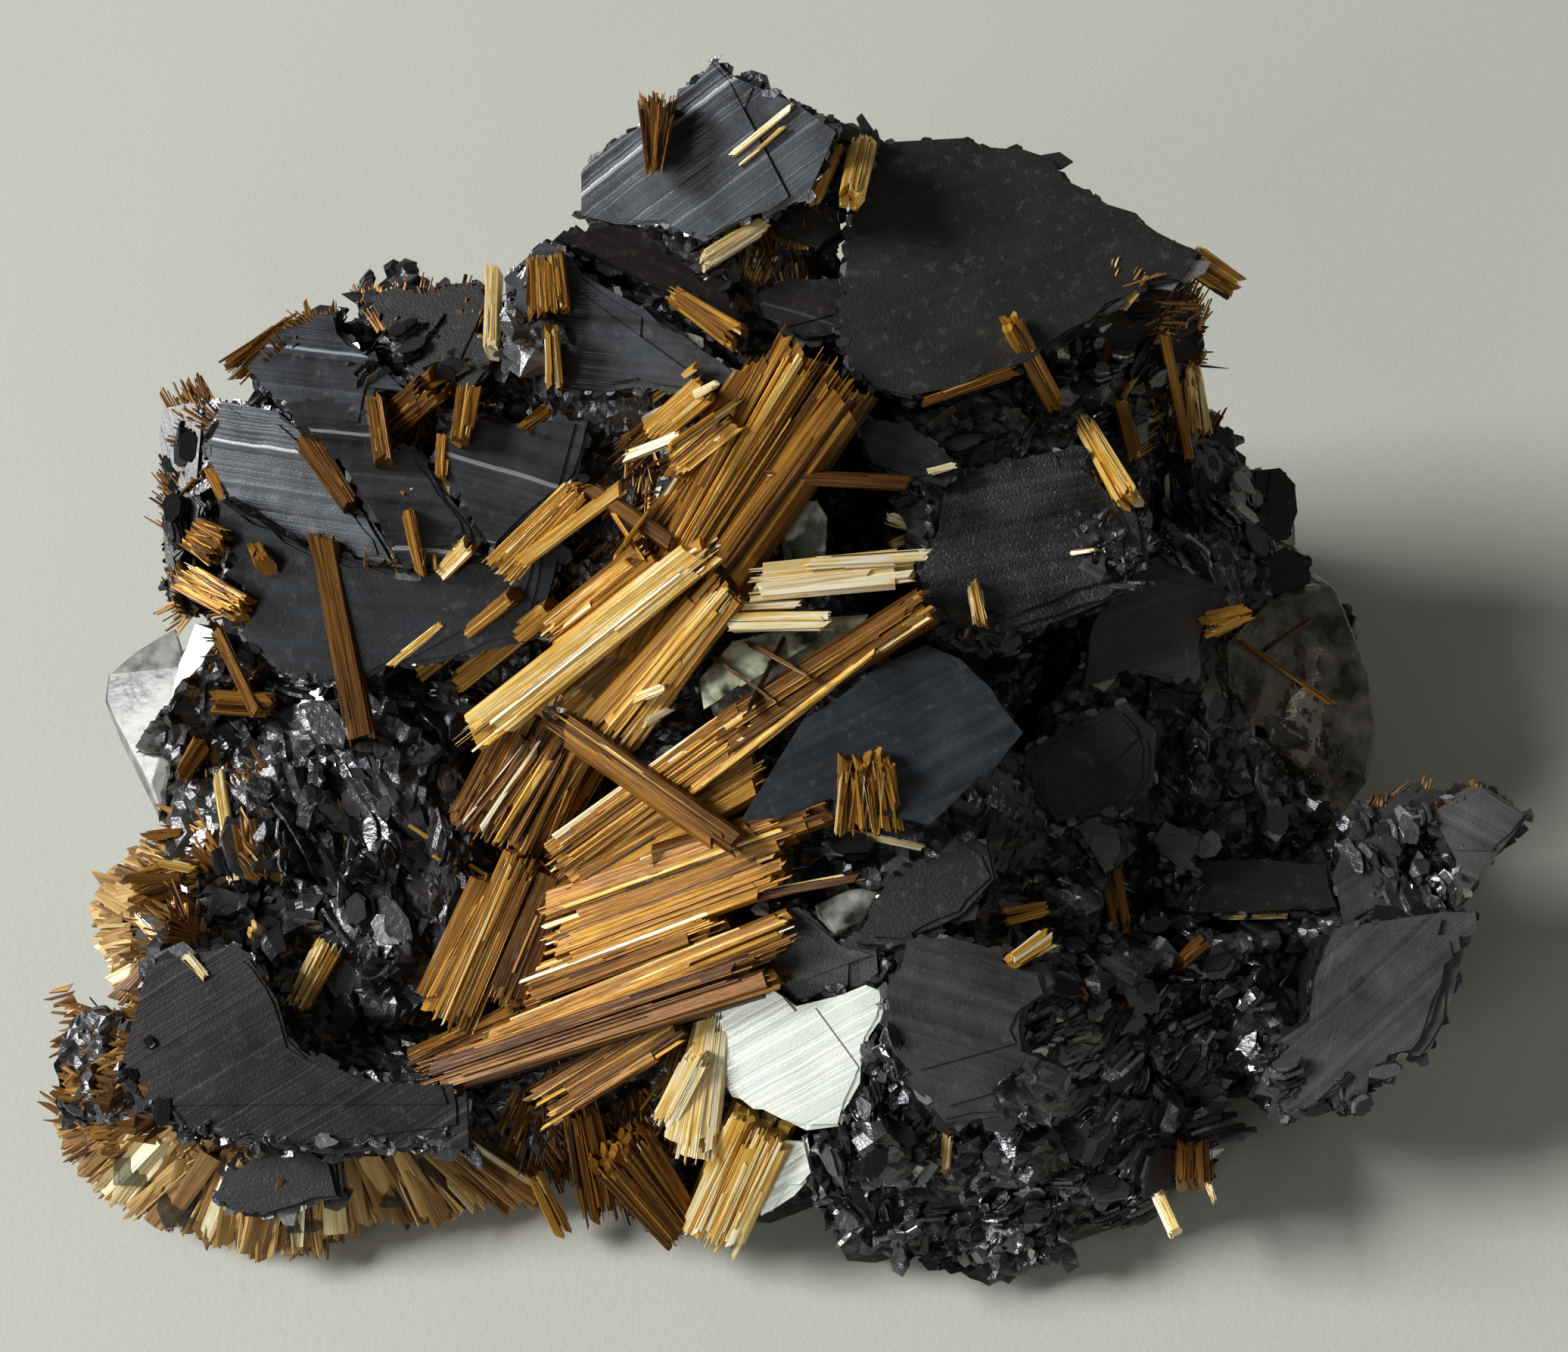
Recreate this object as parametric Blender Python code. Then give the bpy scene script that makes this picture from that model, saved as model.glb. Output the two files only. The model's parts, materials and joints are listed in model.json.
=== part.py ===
"""Rutile on hematite: a cluster of dark hematite plates with sheaves of golden rutile and some quartz.

Metres, +Z up, resting on z = 0. The near side faces -Y.
Outlines are drawn in millimetres on a sheet that stands between the eye and the specimen, as it is seen
from the front and above: first number to the right, second number down. A height above the table then
puts each drawn spot in its place.
"""

import math
import random

import bmesh
import bpy
from mathutils import Matrix, Vector
from mathutils.bvhtree import BVHTree

MM = 0.001
EYE_ELEVATION = math.radians(55.0)
EYE_REACH = 137.5
SHEET_REACH = 144.35
SHEET_MIDDLE = (51.8, 44.675)
BASE_FORWARD = 10.0
SOCKET_GAP = 0.3
SEAT_SHARE = 1.6
TABLE_DEPTH = 6.0
SHORTENING = 0.08
LONGEST = 1.45
BLADE_RISE = 0.16
BLADE_OVERLAP = 1.12
FRINGE_ROOM = 1.05
CHIP_VOLUME = 0.6
ROCK_SHARE = 0.62
SIDE_REACH = 90.0
QUARTZ_TAPER = 0.8
SEED = 41

EYE = Vector((
    0.0,
    BASE_FORWARD - EYE_REACH * math.cos(EYE_ELEVATION),
    EYE_REACH * math.sin(EYE_ELEVATION),
))

HEMATITE_COLOUR = (0.055, 0.058, 0.065, 1.0)
RUTILE_COLOUR = (0.55, 0.32, 0.08, 1.0)
QUARTZ_COLOUR = (0.55, 0.55, 0.52, 1.0)


# Placing.


def sight(right, down):
    """Line from the eye through a spot on the sheet."""
    across = right - SHEET_MIDDLE[0]
    up = SHEET_MIDDLE[1] - down
    return Vector((
        across,
        SHEET_REACH * math.cos(EYE_ELEVATION) + up * math.sin(EYE_ELEVATION),
        up * math.cos(EYE_ELEVATION) - SHEET_REACH * math.sin(EYE_ELEVATION),
    ))


def spot(right, down, height):
    """A spot on the sheet, put at this height above the table."""
    line = sight(right, down)
    return EYE + line * ((EYE.z - height) / -line.z)


def facing(lean, turn):
    """Direction that leans this many degrees from upright, toward the viewer turned to the right."""
    lean = math.radians(lean)
    turn = math.radians(turn)
    return Vector((
        math.sin(lean) * math.sin(turn),
        -math.sin(lean) * math.cos(turn),
        math.cos(lean),
    ))


def on_face(right, down, anchor, normal):
    """Where the line through a spot on the sheet meets a flat face."""
    line = sight(right, down)
    return EYE + line * (normal.dot(anchor - EYE) / normal.dot(line))


# Making.


def material(name, colour, metallic, roughness):
    """A plain surface."""
    made = bpy.data.materials.new(name)
    made.use_nodes = True
    shader = made.node_tree.nodes["Principled BSDF"]
    shader.inputs["Base Color"].default_value = colour
    shader.inputs["Metallic"].default_value = metallic
    shader.inputs["Roughness"].default_value = roughness
    return made


def from_bmesh(name, shape, home):
    """Turn a shape in millimetres into an object in metres."""
    bmesh.ops.recalc_face_normals(shape, faces=shape.faces)
    bmesh.ops.transform(shape, matrix=Matrix.Scale(MM, 4), verts=shape.verts)
    mesh = bpy.data.meshes.new(name)
    shape.to_mesh(mesh)
    shape.free()
    made = bpy.data.objects.new(name.replace(" ", "_"), mesh)
    home.objects.link(made)
    return made


def crag(name, spots, home):
    """Smallest block with flat sides around these spots."""
    shape = bmesh.new()
    for place in spots:
        shape.verts.new(place)
    bmesh.ops.convex_hull(shape, input=shape.verts)
    loose = [vert for vert in shape.verts if not vert.link_faces]
    bmesh.ops.delete(shape, geom=loose, context="VERTS")
    return from_bmesh(name, shape, home)


def plate(name, outline, anchor, lean, turn, thick, home, narrowing=0.94):
    """Flat crystal: the drawn outline, laid on a leaning face and given thickness behind it."""
    normal = facing(lean, turn)
    place = spot(*anchor)
    shape = bmesh.new()
    corners = [shape.verts.new(on_face(right, down, place, normal)) for right, down in outline]
    front = shape.faces.new(corners)
    pushed = bmesh.ops.extrude_face_region(shape, geom=[front])
    back = [item for item in pushed["geom"] if isinstance(item, bmesh.types.BMVert)]
    middle = sum((vert.co for vert in back), Vector()) / len(back)
    for vert in back:
        vert.co = middle + (vert.co - middle) * narrowing - normal * thick
    return from_bmesh(name, shape, home)


def tablet(name, middle, normal, radius, thick, spin, corners, home):
    """Small flat crystal with straight edges."""
    shape = bmesh.new()
    bmesh.ops.create_cone(
        shape, cap_ends=True, segments=corners, radius1=radius * 0.86, radius2=radius, depth=thick
    )
    turned = normal.to_track_quat("Z", "Y").to_matrix().to_4x4() @ Matrix.Rotation(spin, 4, "Z")
    bmesh.ops.transform(shape, matrix=Matrix.Translation(middle) @ turned, verts=shape.verts)
    return from_bmesh(name, shape, home)


def lath(name, start, end, across, depth, wide, thick, slant, home):
    """One straight crystal blade with slanting ends."""
    run = (end - start).normalized()
    shape = bmesh.new()
    corners = []
    for place, lean, size in ((start, -slant, wide[0]), (end, slant, wide[1])):
        for side, level in ((-1, -1), (1, -1), (1, 1), (-1, 1)):
            point = place + across * (side * size / 2) + depth * (level * thick / 2)
            corners.append(shape.verts.new(point + run * (side * lean)))
    bmesh.ops.convex_hull(shape, input=corners)
    return from_bmesh(name, shape, home)


def settled(made):
    """Replace an object's modifiers by the shape they make."""
    graph = bpy.context.evaluated_depsgraph_get()
    mesh = bpy.data.meshes.new_from_object(made.evaluated_get(graph))
    made.modifiers.clear()
    made.data = mesh


def boolean(made, operation, tools):
    """Join or cut an object with a group of others, then put those away."""
    group = bpy.data.collections.new(made.name + " " + operation.lower())
    bpy.context.scene.collection.children.link(group)
    for tool in tools:
        for home in tuple(tool.users_collection):
            home.objects.unlink(tool)
        group.objects.link(tool)
    step = made.modifiers.new(operation.title(), "BOOLEAN")
    step.operation = operation
    step.solver = "EXACT"
    step.operand_type = "COLLECTION"
    step.collection = group
    bpy.context.view_layer.update()
    settled(made)
    for tool in tools:
        bpy.data.objects.remove(tool)
    bpy.data.collections.remove(group)


def merged(name, solids):
    """One solid made of several that overlap."""
    first = solids[0]
    first.name = name.replace(" ", "_")
    if len(solids) > 1:
        boolean(first, "UNION", solids[1:])
    return first


def tidied(made):
    """Merge faces that lie flat together."""
    shape = bmesh.new()
    shape.from_mesh(made.data)
    bmesh.ops.dissolve_limit(shape, angle_limit=math.radians(0.4), verts=shape.verts, edges=shape.edges)
    bmesh.ops.triangulate(shape, faces=shape.faces)
    shape.to_mesh(made.data)
    shape.free()


def thinned(made, share):
    """Keep this share of an object's faces, giving up the least of its shape."""
    step = made.modifiers.new("Thin", "DECIMATE")
    step.ratio = share
    settled(made)


def bodies(made):
    """The separate closed bodies of an object, as lists of face numbers, largest first."""
    shape = bmesh.new()
    shape.from_mesh(made.data)
    waiting = set(shape.faces)
    groups = []
    while waiting:
        queue = [waiting.pop()]
        group = []
        while queue:
            face = queue.pop()
            group.append(face)
            shared = [edge for edge in face.edges if len(edge.link_faces) == 2]
            for edge in shared:
                for near in edge.link_faces:
                    if near in waiting:
                        waiting.remove(near)
                        queue.append(near)
        groups.append(group)
    sized = []
    for group in groups:
        volume = sum(face.verts[0].co.dot(face.verts[1].co.cross(face.verts[2].co)) / 6 for face in group)
        sized.append((abs(volume) / MM**3, [face.index for face in group]))
    shape.free()
    return sorted(sized, key=lambda item: -item[0])


def only(made, keep):
    """The mesh of just these faces of an object."""
    shape = bmesh.new()
    shape.from_mesh(made.data)
    wanted = set(keep)
    extra = [face for face in shape.faces if face.index not in wanted]
    bmesh.ops.delete(shape, geom=extra, context="FACES_ONLY")
    bare = [edge for edge in shape.edges if not edge.link_faces]
    bmesh.ops.delete(shape, geom=bare, context="EDGES")
    loose = [vert for vert in shape.verts if not vert.link_faces]
    bmesh.ops.delete(shape, geom=loose, context="VERTS")
    mesh = bpy.data.meshes.new(made.name)
    shape.to_mesh(mesh)
    shape.free()
    return mesh


def keep_largest(made):
    """Drop the loose chips that a cut left behind."""
    _, faces = bodies(made)[0]
    made.data = only(made, faces)


def surface(made):
    """Search tree over an object's faces, in millimetres."""
    graph = bpy.context.evaluated_depsgraph_get()
    mesh = made.evaluated_get(graph).to_mesh()
    verts = [vert.co / MM for vert in mesh.vertices]
    faces = [tuple(face.vertices) for face in mesh.polygons]
    return BVHTree.FromPolygons(verts, faces)


def laid(tree, right, down, lift):
    """A spot on the sheet, put on the rock and lifted toward the eye, and the way the rock faces there."""
    line = sight(right, down).normalized()
    hit, normal, _, _ = tree.ray_cast(EYE, line)
    if hit is None:
        return None, None
    return hit - line * lift, normal


def laid_pair(tree, start, end, lift):
    """Both ends of a crystal on the rock. An end out past an edge stays level with the higher one."""
    if len(start) > 2:
        return spot(*start), spot(*end)
    first, _ = laid(tree, start[0], start[1], lift)
    last, _ = laid(tree, end[0], end[1], lift)
    drawn = math.dist(start, end)
    level = max(place.z for place in (first, last) if place is not None)
    stretched = first is None or last is None or (last - first).length > LONGEST * drawn
    if first is None or (stretched and first.z < level):
        first = spot(start[0], start[1], level)
    if last is None or (stretched and last.z < level):
        last = spot(end[0], end[1], level)
    return first, last


# Hematite.

# Blocks of the core: spots on their tops (right, down, height), then their feet (x, y) on the table.
CRAGS = {
    "left block": (
        [(17, 25.5, 25.5), (21, 22, 27.5), (25, 20.6, 28), (31, 19.6, 29), (36, 20, 29.5), (38, 28, 26),
         (37, 36, 21.5), (35.5, 41.5, 18), (27, 43.5, 16.5), (23, 44.6, 15.5), (16, 40.5, 14.5),
         (13.5, 31, 19)],
        [(-31, 3), (-29, 9), (-20, 13), (-9, 14), (-8, -2), (-14, -7), (-30, -6)],
    ),
    "lower left": (
        [(12.5, 47.5, 9), (14, 58, 8.5), (10.5, 62, 7.5), (20, 48, 12.5), (30, 45, 15.5), (29, 57, 10),
         (20, 65, 8), (10.5, 67, 6), (31, 66, 8.5), (13, 42, 12)],
        [(-34, -2), (-34, -12), (-30, -17), (-12, -18), (-10, 0), (-32, 3)],
    ),
    "near left": (
        [(7, 71, 5.5), (11, 64.5, 7), (19, 67, 8), (31, 71.5, 7.5), (27, 78, 3), (15, 79.5, 3),
         (8.5, 77, 3),
         (33, 77.5, 3)],
        [(-36, -15), (-34, -21), (-28, -24), (-18, -24), (-13, -22), (-12, -12), (-30, -10)],
    ),
    "back middle": (
        [(36.5, 18, 30.5), (41, 12.5, 34.5), (46, 9.5, 37.5), (54, 11, 35), (56, 20, 30), (52, 30, 25),
         (38, 28, 26), (38, 40, 19.5), (50, 38, 22)],
        [(-12, 15), (-5, 17), (6, 17), (9, 8), (2, -6), (-12, -6)],
    ),
    "middle": (
        [(50, 30, 25), (39, 44, 17.5), (57, 42, 22.5), (60, 46, 21), (47, 56, 13.5), (34, 50, 14),
         (36, 62, 9.5),
         (56, 56, 16)],
        [(-12, 0), (-14, -16), (4, -18), (9, -8), (6, 4)],
    ),
    "back right": (
        [(57.5, 12.5, 32), (64, 11, 33.5), (71.5, 14, 31), (78, 17.8, 27.5), (76, 29, 22.5), (59, 27, 28.5),
         (62, 40, 23.5), (74, 39, 19)],
        [(3, 17), (12, 18), (22, 14), (25, 5), (20, -6), (6, -6)],
    ),
    "right": (
        [(76, 37, 17.5), (80, 29, 19.5), (84, 32.5, 14.5), (87, 38.5, 8), (89, 52, 5.5), (82, 47, 12),
         (70, 46, 19), (70, 60, 13.5), (82, 58, 9.5)],
        [(24, 10), (29, 3), (31, -8), (28, -16), (12, -18), (12, 0)],
    ),
    "near right": (
        [(55, 52, 19), (66, 47, 20.5), (62, 60, 16.5), (56, 64, 12.5), (58, 73, 12), (69, 66, 14),
         (55, 79, 3.5),
         (66, 83.5, 1.5), (77, 79.5, 2.5), (80, 72, 6), (76, 66, 11)],
        [(2, -10), (2, -25.5), (11, -28), (19.5, -24.5), (23, -19), (20, -8)],
    ),
    "near middle": (
        [(34, 64, 8.5), (46, 60, 12), (54, 62, 13), (54.5, 73, 8), (48, 80, 2.5), (41, 79, 2), (32, 73, 6)],
        [(-16, -10), (-15, -20), (-8, -25), (2, -25.5), (4, -12)],
    ),
    "heart": (
        [(36, 48, 12), (52, 44, 18), (66, 44, 17), (60, 58, 12), (44, 60, 9), (30, 54, 9)],
        [(-22, -4), (-12, 8), (12, 8), (20, -4), (12, -16), (-14, -16)],
    ),
    "far right": (
        [(84, 63, 9), (91, 62, 11), (96.5, 60.5, 11), (95, 66, 9.5), (88, 71, 6.5), (80, 60, 10),
         (90, 54, 10),
         (97.5, 53.5, 12.5)],
        [(22, -6), (30, -4), (33.5, -8), (34, -13), (29, -17), (22, -18)],
    ),
}

# Flat crystals: outline on the sheet, a spot on the face with its height, lean, turn and thickness.
PLATES = {
    "top blade": (
        [(47.2, 3.9), (48.3, 5.0), (52.7, 6.9), (55.2, 8.6), (54.8, 10.2), (53.4, 12.9), (51, 14.2),
         (48.2, 15.4),
         (46.5, 16), (44, 14.9), (40.5, 14.9), (38.4, 14.2), (38.4, 11.4), (40.5, 9.4), (41.7, 8.6),
         (44.2, 7.6),
         (44.9, 5.8), (46.2, 5.2)],
        (47, 10, 37.5), 48, -22, 2.4,
    ),
    "blade behind the top": (
        [(48.6, 5.3), (57.9, 9), (57.5, 12), (54, 13), (47, 9)],
        (53, 9, 36.6), 42, 10, 1.8,
    ),
    "ridge under the top blade": (
        [(36.8, 15.8), (38.5, 15.2), (41, 14.6), (46.4, 15.8), (48, 19), (49.2, 23.4), (46.5, 21.6),
         (43.5, 19),
         (39.5, 16.9)],
        (42, 16.5, 33.5), 16, 15, 5.0,
    ),
    "middle blade": (
        [(36, 15.9), (37.5, 16.7), (38.5, 18.1), (41.5, 19.8), (44, 21.5), (46.5, 23), (48.8, 24.9),
         (46, 26.2),
         (42.5, 25.5), (40.2, 25.9), (36.8, 25.8), (36, 24.6), (33.1, 24.2), (33.3, 20.3), (33.4, 18.3)],
        (41, 22, 31.6), 40, -15, 4.0,
    ),
    "left terrace": (
        [(16.2, 24.2), (17, 23.6), (19, 21.6), (20.8, 20.9), (22.2, 20.6), (22.2, 22), (24.5, 23.6),
         (27.5, 26),
         (24.6, 25.9), (24.2, 28.3), (20, 27.9), (18.5, 26.5)],
        (20, 25, 28), 22, -12, 6.0,
    ),
    "crown ridge": (
        [(24.4, 19.6), (26, 19), (28, 19.4), (29.4, 18.8), (31.9, 18.6), (33.4, 20.3), (33, 24),
         (31, 26), (27.5, 25.4),
         (26, 22.5)],
        (29, 22, 29), 18, -20, 4.0,
    ),
    "left band": (
        [(18.8, 26.6), (24.2, 26.2), (24.8, 28.4), (25.5, 30), (27.5, 29.8), (28.2, 30.8), (31.6, 35.4),
         (31.9, 36.8),
         (27, 38), (24.8, 34), (22, 29.7), (20, 28)],
        (26, 32, 25.4), 30, 12, 5.0,
    ),
    "cracked terrace": (
        [(30, 28.5), (31.5, 27.6), (33.4, 28), (36.5, 27.8), (38.9, 27.8), (38.4, 29.8), (38.2, 31.5),
         (35, 34.2),
         (32.6, 36.3), (31.4, 34.6), (29.6, 31.8), (28.4, 30.2)],
        (34, 31, 26.4), 28, 8, 5.0,
    ),
    "left shoulder": (
        [(14.6, 26.5), (18.3, 27.2), (21.6, 30), (24.4, 34.2), (26.6, 38), (20.5, 37.4), (16, 34.4),
         (13.6, 30)],
        (20, 32, 23.6), 38, -22, 8.0,
    ),
    "smooth slope": (
        [(14.5, 33), (20.5, 36.4), (27, 37.6), (32, 36.8), (37, 36.5), (36, 42), (28, 44), (26, 43.8),
         (24, 45),
         (21, 45.2), (18, 44), (15, 41)],
        (25, 40, 20.6), 46, -6, 12.0,
    ),
    "big dark plate": (
        [(57.9, 9.5), (59.9, 9.2), (63.9, 9.1), (65, 9.7), (67.5, 9.9), (69.4, 10.6), (70.2, 11.9),
         (72, 12.7),
         (73.2, 13.7), (75, 14.3), (77.5, 16.1), (79.5, 16.8), (78, 18.5), (75.5, 18.8), (73, 20.3),
         (69.5, 22.8),
         (67.5, 24), (63.5, 25.5), (60.2, 26.4), (58, 25.8), (56.2, 24), (55.3, 21.5), (56, 17),
         (56.2, 13.5)],
        (66, 17, 33), 20, 6, 5.0,
    ),
    "side of the dark plate": (
        [(70, 22), (74, 19.6), (78.6, 18.6), (79.6, 23), (77, 27), (71.5, 26)],
        (75, 22, 27), 50, 38, 6.0,
    ),
    "bridge": (
        [(50, 19.4), (52, 18.5), (56.5, 18.4), (57, 22), (53, 22.4), (50.5, 21)],
        (53, 20.5, 31.5), 25, -5, 4.0,
    ),
    "dark cap": (
        [(50.8, 14.4), (52, 13.5), (54.8, 14), (55.6, 15.2), (54, 16.4), (51.5, 15.6)],
        (53, 14.6, 34), 22, 0, 3.0,
    ),
    "blue facet": (
        [(56.4, 27.6), (58, 27.8), (60, 28.2), (61.8, 29.5), (63.5, 31), (62.5, 32.2), (60, 31.4),
         (57.6, 30.6)],
        (60, 30, 28.6), 32, -4, 5.0,
    ),
    "sparkling plate": (
        [(62.5, 31.2), (64.5, 31), (66.5, 30.4), (69.5, 29.8), (71.5, 29.5), (73.5, 31.2), (75, 33),
         (75.6, 34.5),
         (76, 36), (75.5, 38.5), (73, 39.8), (70, 41), (66, 42.5), (62.5, 42), (61.8, 40), (61, 37.5),
         (62, 35)],
        (68, 36, 25.4), 24, 8, 6.0,
    ),
    "near plate": (
        [(53.2, 47.5), (56, 45.6), (59.5, 43.2), (61.5, 42.5), (63.5, 43.5), (66.5, 46.5), (67.8, 48.4),
         (66, 50.5),
         (63.5, 53), (61.3, 54.6), (58, 54), (55, 53), (51.5, 54), (49, 54.6), (46.8, 52.5), (48.4, 50.5)],
        (58, 50, 24), 14, 8, 3.2,
    ),
    "grey plate": (
        [(76, 37), (77.5, 36.3), (79.5, 36.3), (80.6, 37.8), (81, 39.2), (80, 40.6), (79.5, 42), (79, 43.5),
         (78.3, 44.8), (76.5, 44.8), (75, 44.3), (73.5, 44.5), (71.5, 45.5), (71.8, 43.5), (72.3, 41),
         (74, 39)],
        (76, 41, 20), 32, 20, 4.5,
    ),
    "stepped plate": (
        [(67.6, 50), (69, 49), (71.5, 47.6), (74.5, 46.4), (76.2, 48.2), (76.4, 51.8), (74.5, 53.4),
         (71.5, 54),
         (69.5, 55), (67.8, 53)],
        (72, 50, 18.6), 24, 12, 4.0,
    ),
    "sparkling slope": (
        [(76, 45.2), (80, 45.6), (83, 48.4), (86, 51.6), (88, 55), (88, 59), (79.5, 57), (77, 54),
         (75.5, 50)],
        (82, 52, 12.6), 36, 40, 6.0,
    ),
    "black slab": (
        [(77.5, 57.2), (82, 56.8), (87.6, 57.4), (88.2, 60), (79, 60.4), (76, 58.5)],
        (82, 58.6, 12), 10, 12, 3.0,
    ),
    "pale facet": (
        [(76.2, 55.6), (77, 54.3), (79, 55.2), (79.9, 55.8), (78.6, 56.7), (79.4, 57.7), (77.8, 57.3)],
        (78, 56, 14.6), 28, 12, 3.0,
    ),
    "grey facet": (
        [(71.2, 54.6), (72, 54.1), (74, 54.8), (73.9, 56), (73.2, 57.8), (72.2, 56.5)],
        (72.7, 56, 16.6), 26, 0, 3.0,
    ),
    "black plate": (
        [(57, 61.5), (58.6, 58.2), (59.5, 57.3), (61.5, 57), (64, 55.3), (65.5, 56), (65.8, 58),
         (64.3, 59.5),
         (63.5, 60.5), (60.5, 61.8), (59.3, 62.5), (56.3, 62.3)],
        (61, 59, 19.6), 20, -8, 4.0,
    ),
    "grey step": (
        [(50.3, 60.1), (52.5, 59.6), (53.8, 60.6), (55.5, 62.2), (57.9, 62.9), (58, 64.3), (57, 65),
         (55, 65.7),
         (52.5, 66.2), (51.5, 65.2), (50.8, 64)],
        (55, 63, 15.4), 40, -18, 4.0,
    ),
    "front plate": (
        [(60, 62), (63, 62), (66, 62.8), (69.5, 63.5), (69.8, 65), (68, 66.5), (67.5, 68), (68, 70.2),
         (69, 71.5),
         (68, 72.8), (66, 73.8), (62.5, 74.2), (61, 72.5), (59, 71), (58.2, 69.5), (59, 67.5), (58.5, 65.5),
         (59.6, 63.8)],
        (64, 68, 17), 28, 8, 4.0,
    ),
    "bright facet": (
        [(46.4, 69.4), (46.8, 67.4), (48, 66.2), (50.3, 64.6), (52.6, 66.5), (55.5, 65.8), (57.2, 65.1),
         (58.5, 65.6),
         (58.3, 67.2), (57.4, 68.5), (57, 71.5), (56, 73.2), (55.6, 74.4), (53.5, 74.7), (51.8, 74.2),
         (50, 73.3),
         (48.4, 72.5)],
        (53, 70, 12.2), 44, -20, 5.0,
    ),
    "bright chunk": (
        [(51, 75), (53.4, 75.2), (53.8, 77.5), (52.5, 79), (50.2, 80.5), (49.8, 78)],
        (52, 77, 8), 46, -22, 4.0,
    ),
    "low bright facet": (
        [(41.6, 79.6), (43, 79.8), (44.7, 81.4), (44.4, 82.2), (42.5, 81.6)],
        (43, 80.8, 3), 36, -20, 2.6,
    ),
    "near rosette": (
        [(9.7, 63.8), (11.5, 63.2), (15.5, 62.5), (16.5, 63), (18.2, 66), (19, 68.8), (20.5, 69.8),
         (24.5, 71.5),
         (30.5, 71.8), (31, 73.5), (31, 76), (27, 75.8), (22, 76.3), (19, 76), (14.5, 75.4),
         (11.5, 74.6), (8.5, 73),
         (7.8, 71)],
        (19, 71.5, 10), 22, -8, 2.4,
    ),
    "low disc": (
        [(14.2, 79.2), (15, 77.2), (18, 75.6), (20, 75.4), (22.5, 76.6), (22.7, 79), (20, 79.7),
         (17.5, 80.3),
         (15.2, 80)],
        (18.5, 78.4, 6), 26, -5, 1.6,
    ),
    "small plate": (
        [(12.5, 59.9), (14.4, 59.2), (16.2, 59.4), (16.6, 60.8), (13.5, 62.6)],
        (14.5, 61, 9.6), 25, -20, 3.0,
    ),
    "blue chip": (
        [(9, 62), (9.3, 60.3), (10.4, 60.8), (11.5, 61.2), (12.2, 62.6), (11.6, 63.4), (10.2, 63.5)],
        (10.5, 62, 8.8), 34, -26, 3.0,
    ),
    "white plate": (
        [(12.9, 41.2), (14, 41.6), (15.4, 44.6), (14.8, 46.3), (13, 48.1), (11.2, 49.6), (10.8, 48.2),
         (11.3, 46.8),
         (11.5, 45), (12, 43.8)],
        (13, 45.5, 12.5), 42, -32, 2.6,
    ),
    "far rosette": (
        [(86.9, 64.5), (88, 61.5), (90, 61), (92.5, 60.8), (95.5, 60.2), (97.5, 60.3), (97.6, 61.4),
         (96.8, 62.3),
         (96.1, 65.5), (95.6, 67.2), (94.8, 69), (94, 69.8), (92, 70.2), (91.6, 71.2), (90.3, 71.8),
         (90.2, 73.7),
         (88.9, 73.5), (88.7, 72.2), (87.5, 72.8), (85.6, 74.1), (84.5, 73.9), (84, 72.5), (83, 72.3),
         (83.7, 70),
         (84.5, 68.7), (86.5, 67.5)],
        (91, 66, 12.6), 26, 4, 5.0,
    ),
    "corner plate": (
        [(97, 52), (98.3, 52.1), (99.5, 52.9), (101, 53.9), (100.2, 55), (99, 56.2), (97.5, 58.5),
         (96.2, 60),
         (96.3, 57), (95, 54.5), (93.8, 54), (95, 53)],
        (98, 55.5, 14), 34, -10, 3.4,
    ),
    "corner rim": (
        [(89.4, 54.4), (90.5, 53.2), (93.5, 52), (95.8, 52.3), (94, 54.2), (92.4, 56.6), (92, 60.4),
         (89, 61.4), (88, 58)],
        (92, 56, 12.6), 20, -6, 4.0,
    ),
    "right lump": (
        [(83, 31.2), (84.4, 31), (85.4, 32.1), (85.6, 34), (85, 35.5), (83.5, 36.3), (82.3, 34.5),
         (82.9, 33)],
        (84, 33.5, 15.4), 34, 30, 4.0,
    ),
    "right blade": (
        [(80.2, 28), (81.5, 28.5), (81.8, 31), (82, 34), (81, 34.5), (79, 33), (78.2, 30)],
        (80.5, 31, 20), 45, 32, 3.0,
    ),
    "black crystals": (
        [(80.8, 36.5), (83, 37), (85, 36.3), (86.3, 37), (86.8, 38.6), (84.5, 39.5), (81, 39.5)],
        (84, 38, 14), 30, 20, 5.0,
    ),
    "left crystal": (
        [(10.6, 28.6), (10.8, 26.9), (13.2, 26.4), (14.2, 27), (14.6, 29.5), (13.6, 32), (12.2, 32.4),
         (11.1, 31.9)],
        (12.3, 29.5, 20), 36, -40, 5.0,
    ),
    "lower left crystal": (
        [(10.8, 32.5), (12.2, 31.8), (13.6, 33.4), (12.8, 35.6), (11.7, 37), (12.6, 40.6), (11.2, 39.6),
         (10.8, 36)],
        (11.8, 35, 17.4), 40, -38, 5.0,
    ),
    "corner cluster": (
        [(3.6, 73.4), (3.4, 70.3), (4, 68.6), (4.8, 67.2), (6, 67), (8, 68.2), (11, 70.2), (12, 74),
         (8, 76), (4.6, 75.4)],
        (7, 71, 6.4), 30, -24, 3.6,
    ),
    "low block": (
        [(55.2, 80.8), (58, 79.8), (60.2, 79.8), (60.6, 82.3), (58, 83.4), (56, 83.2)],
        (58, 81.5, 3.4), 44, -4, 4.0,
    ),
    "low step": (
        [(61, 80), (64, 80.3), (64.4, 82.5), (62, 83.6), (60.8, 82)],
        (62.5, 81.8, 3.6), 40, 10, 4.0,
    ),
    "layered slope": (
        [(69.5, 71), (75, 67), (80, 63), (84, 62), (84.5, 66), (83, 70), (80.5, 74), (80, 78), (76, 79),
         (70, 80)],
        (77, 72, 8), 34, 18, 5.0,
    ),
    "front slope": (
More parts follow.
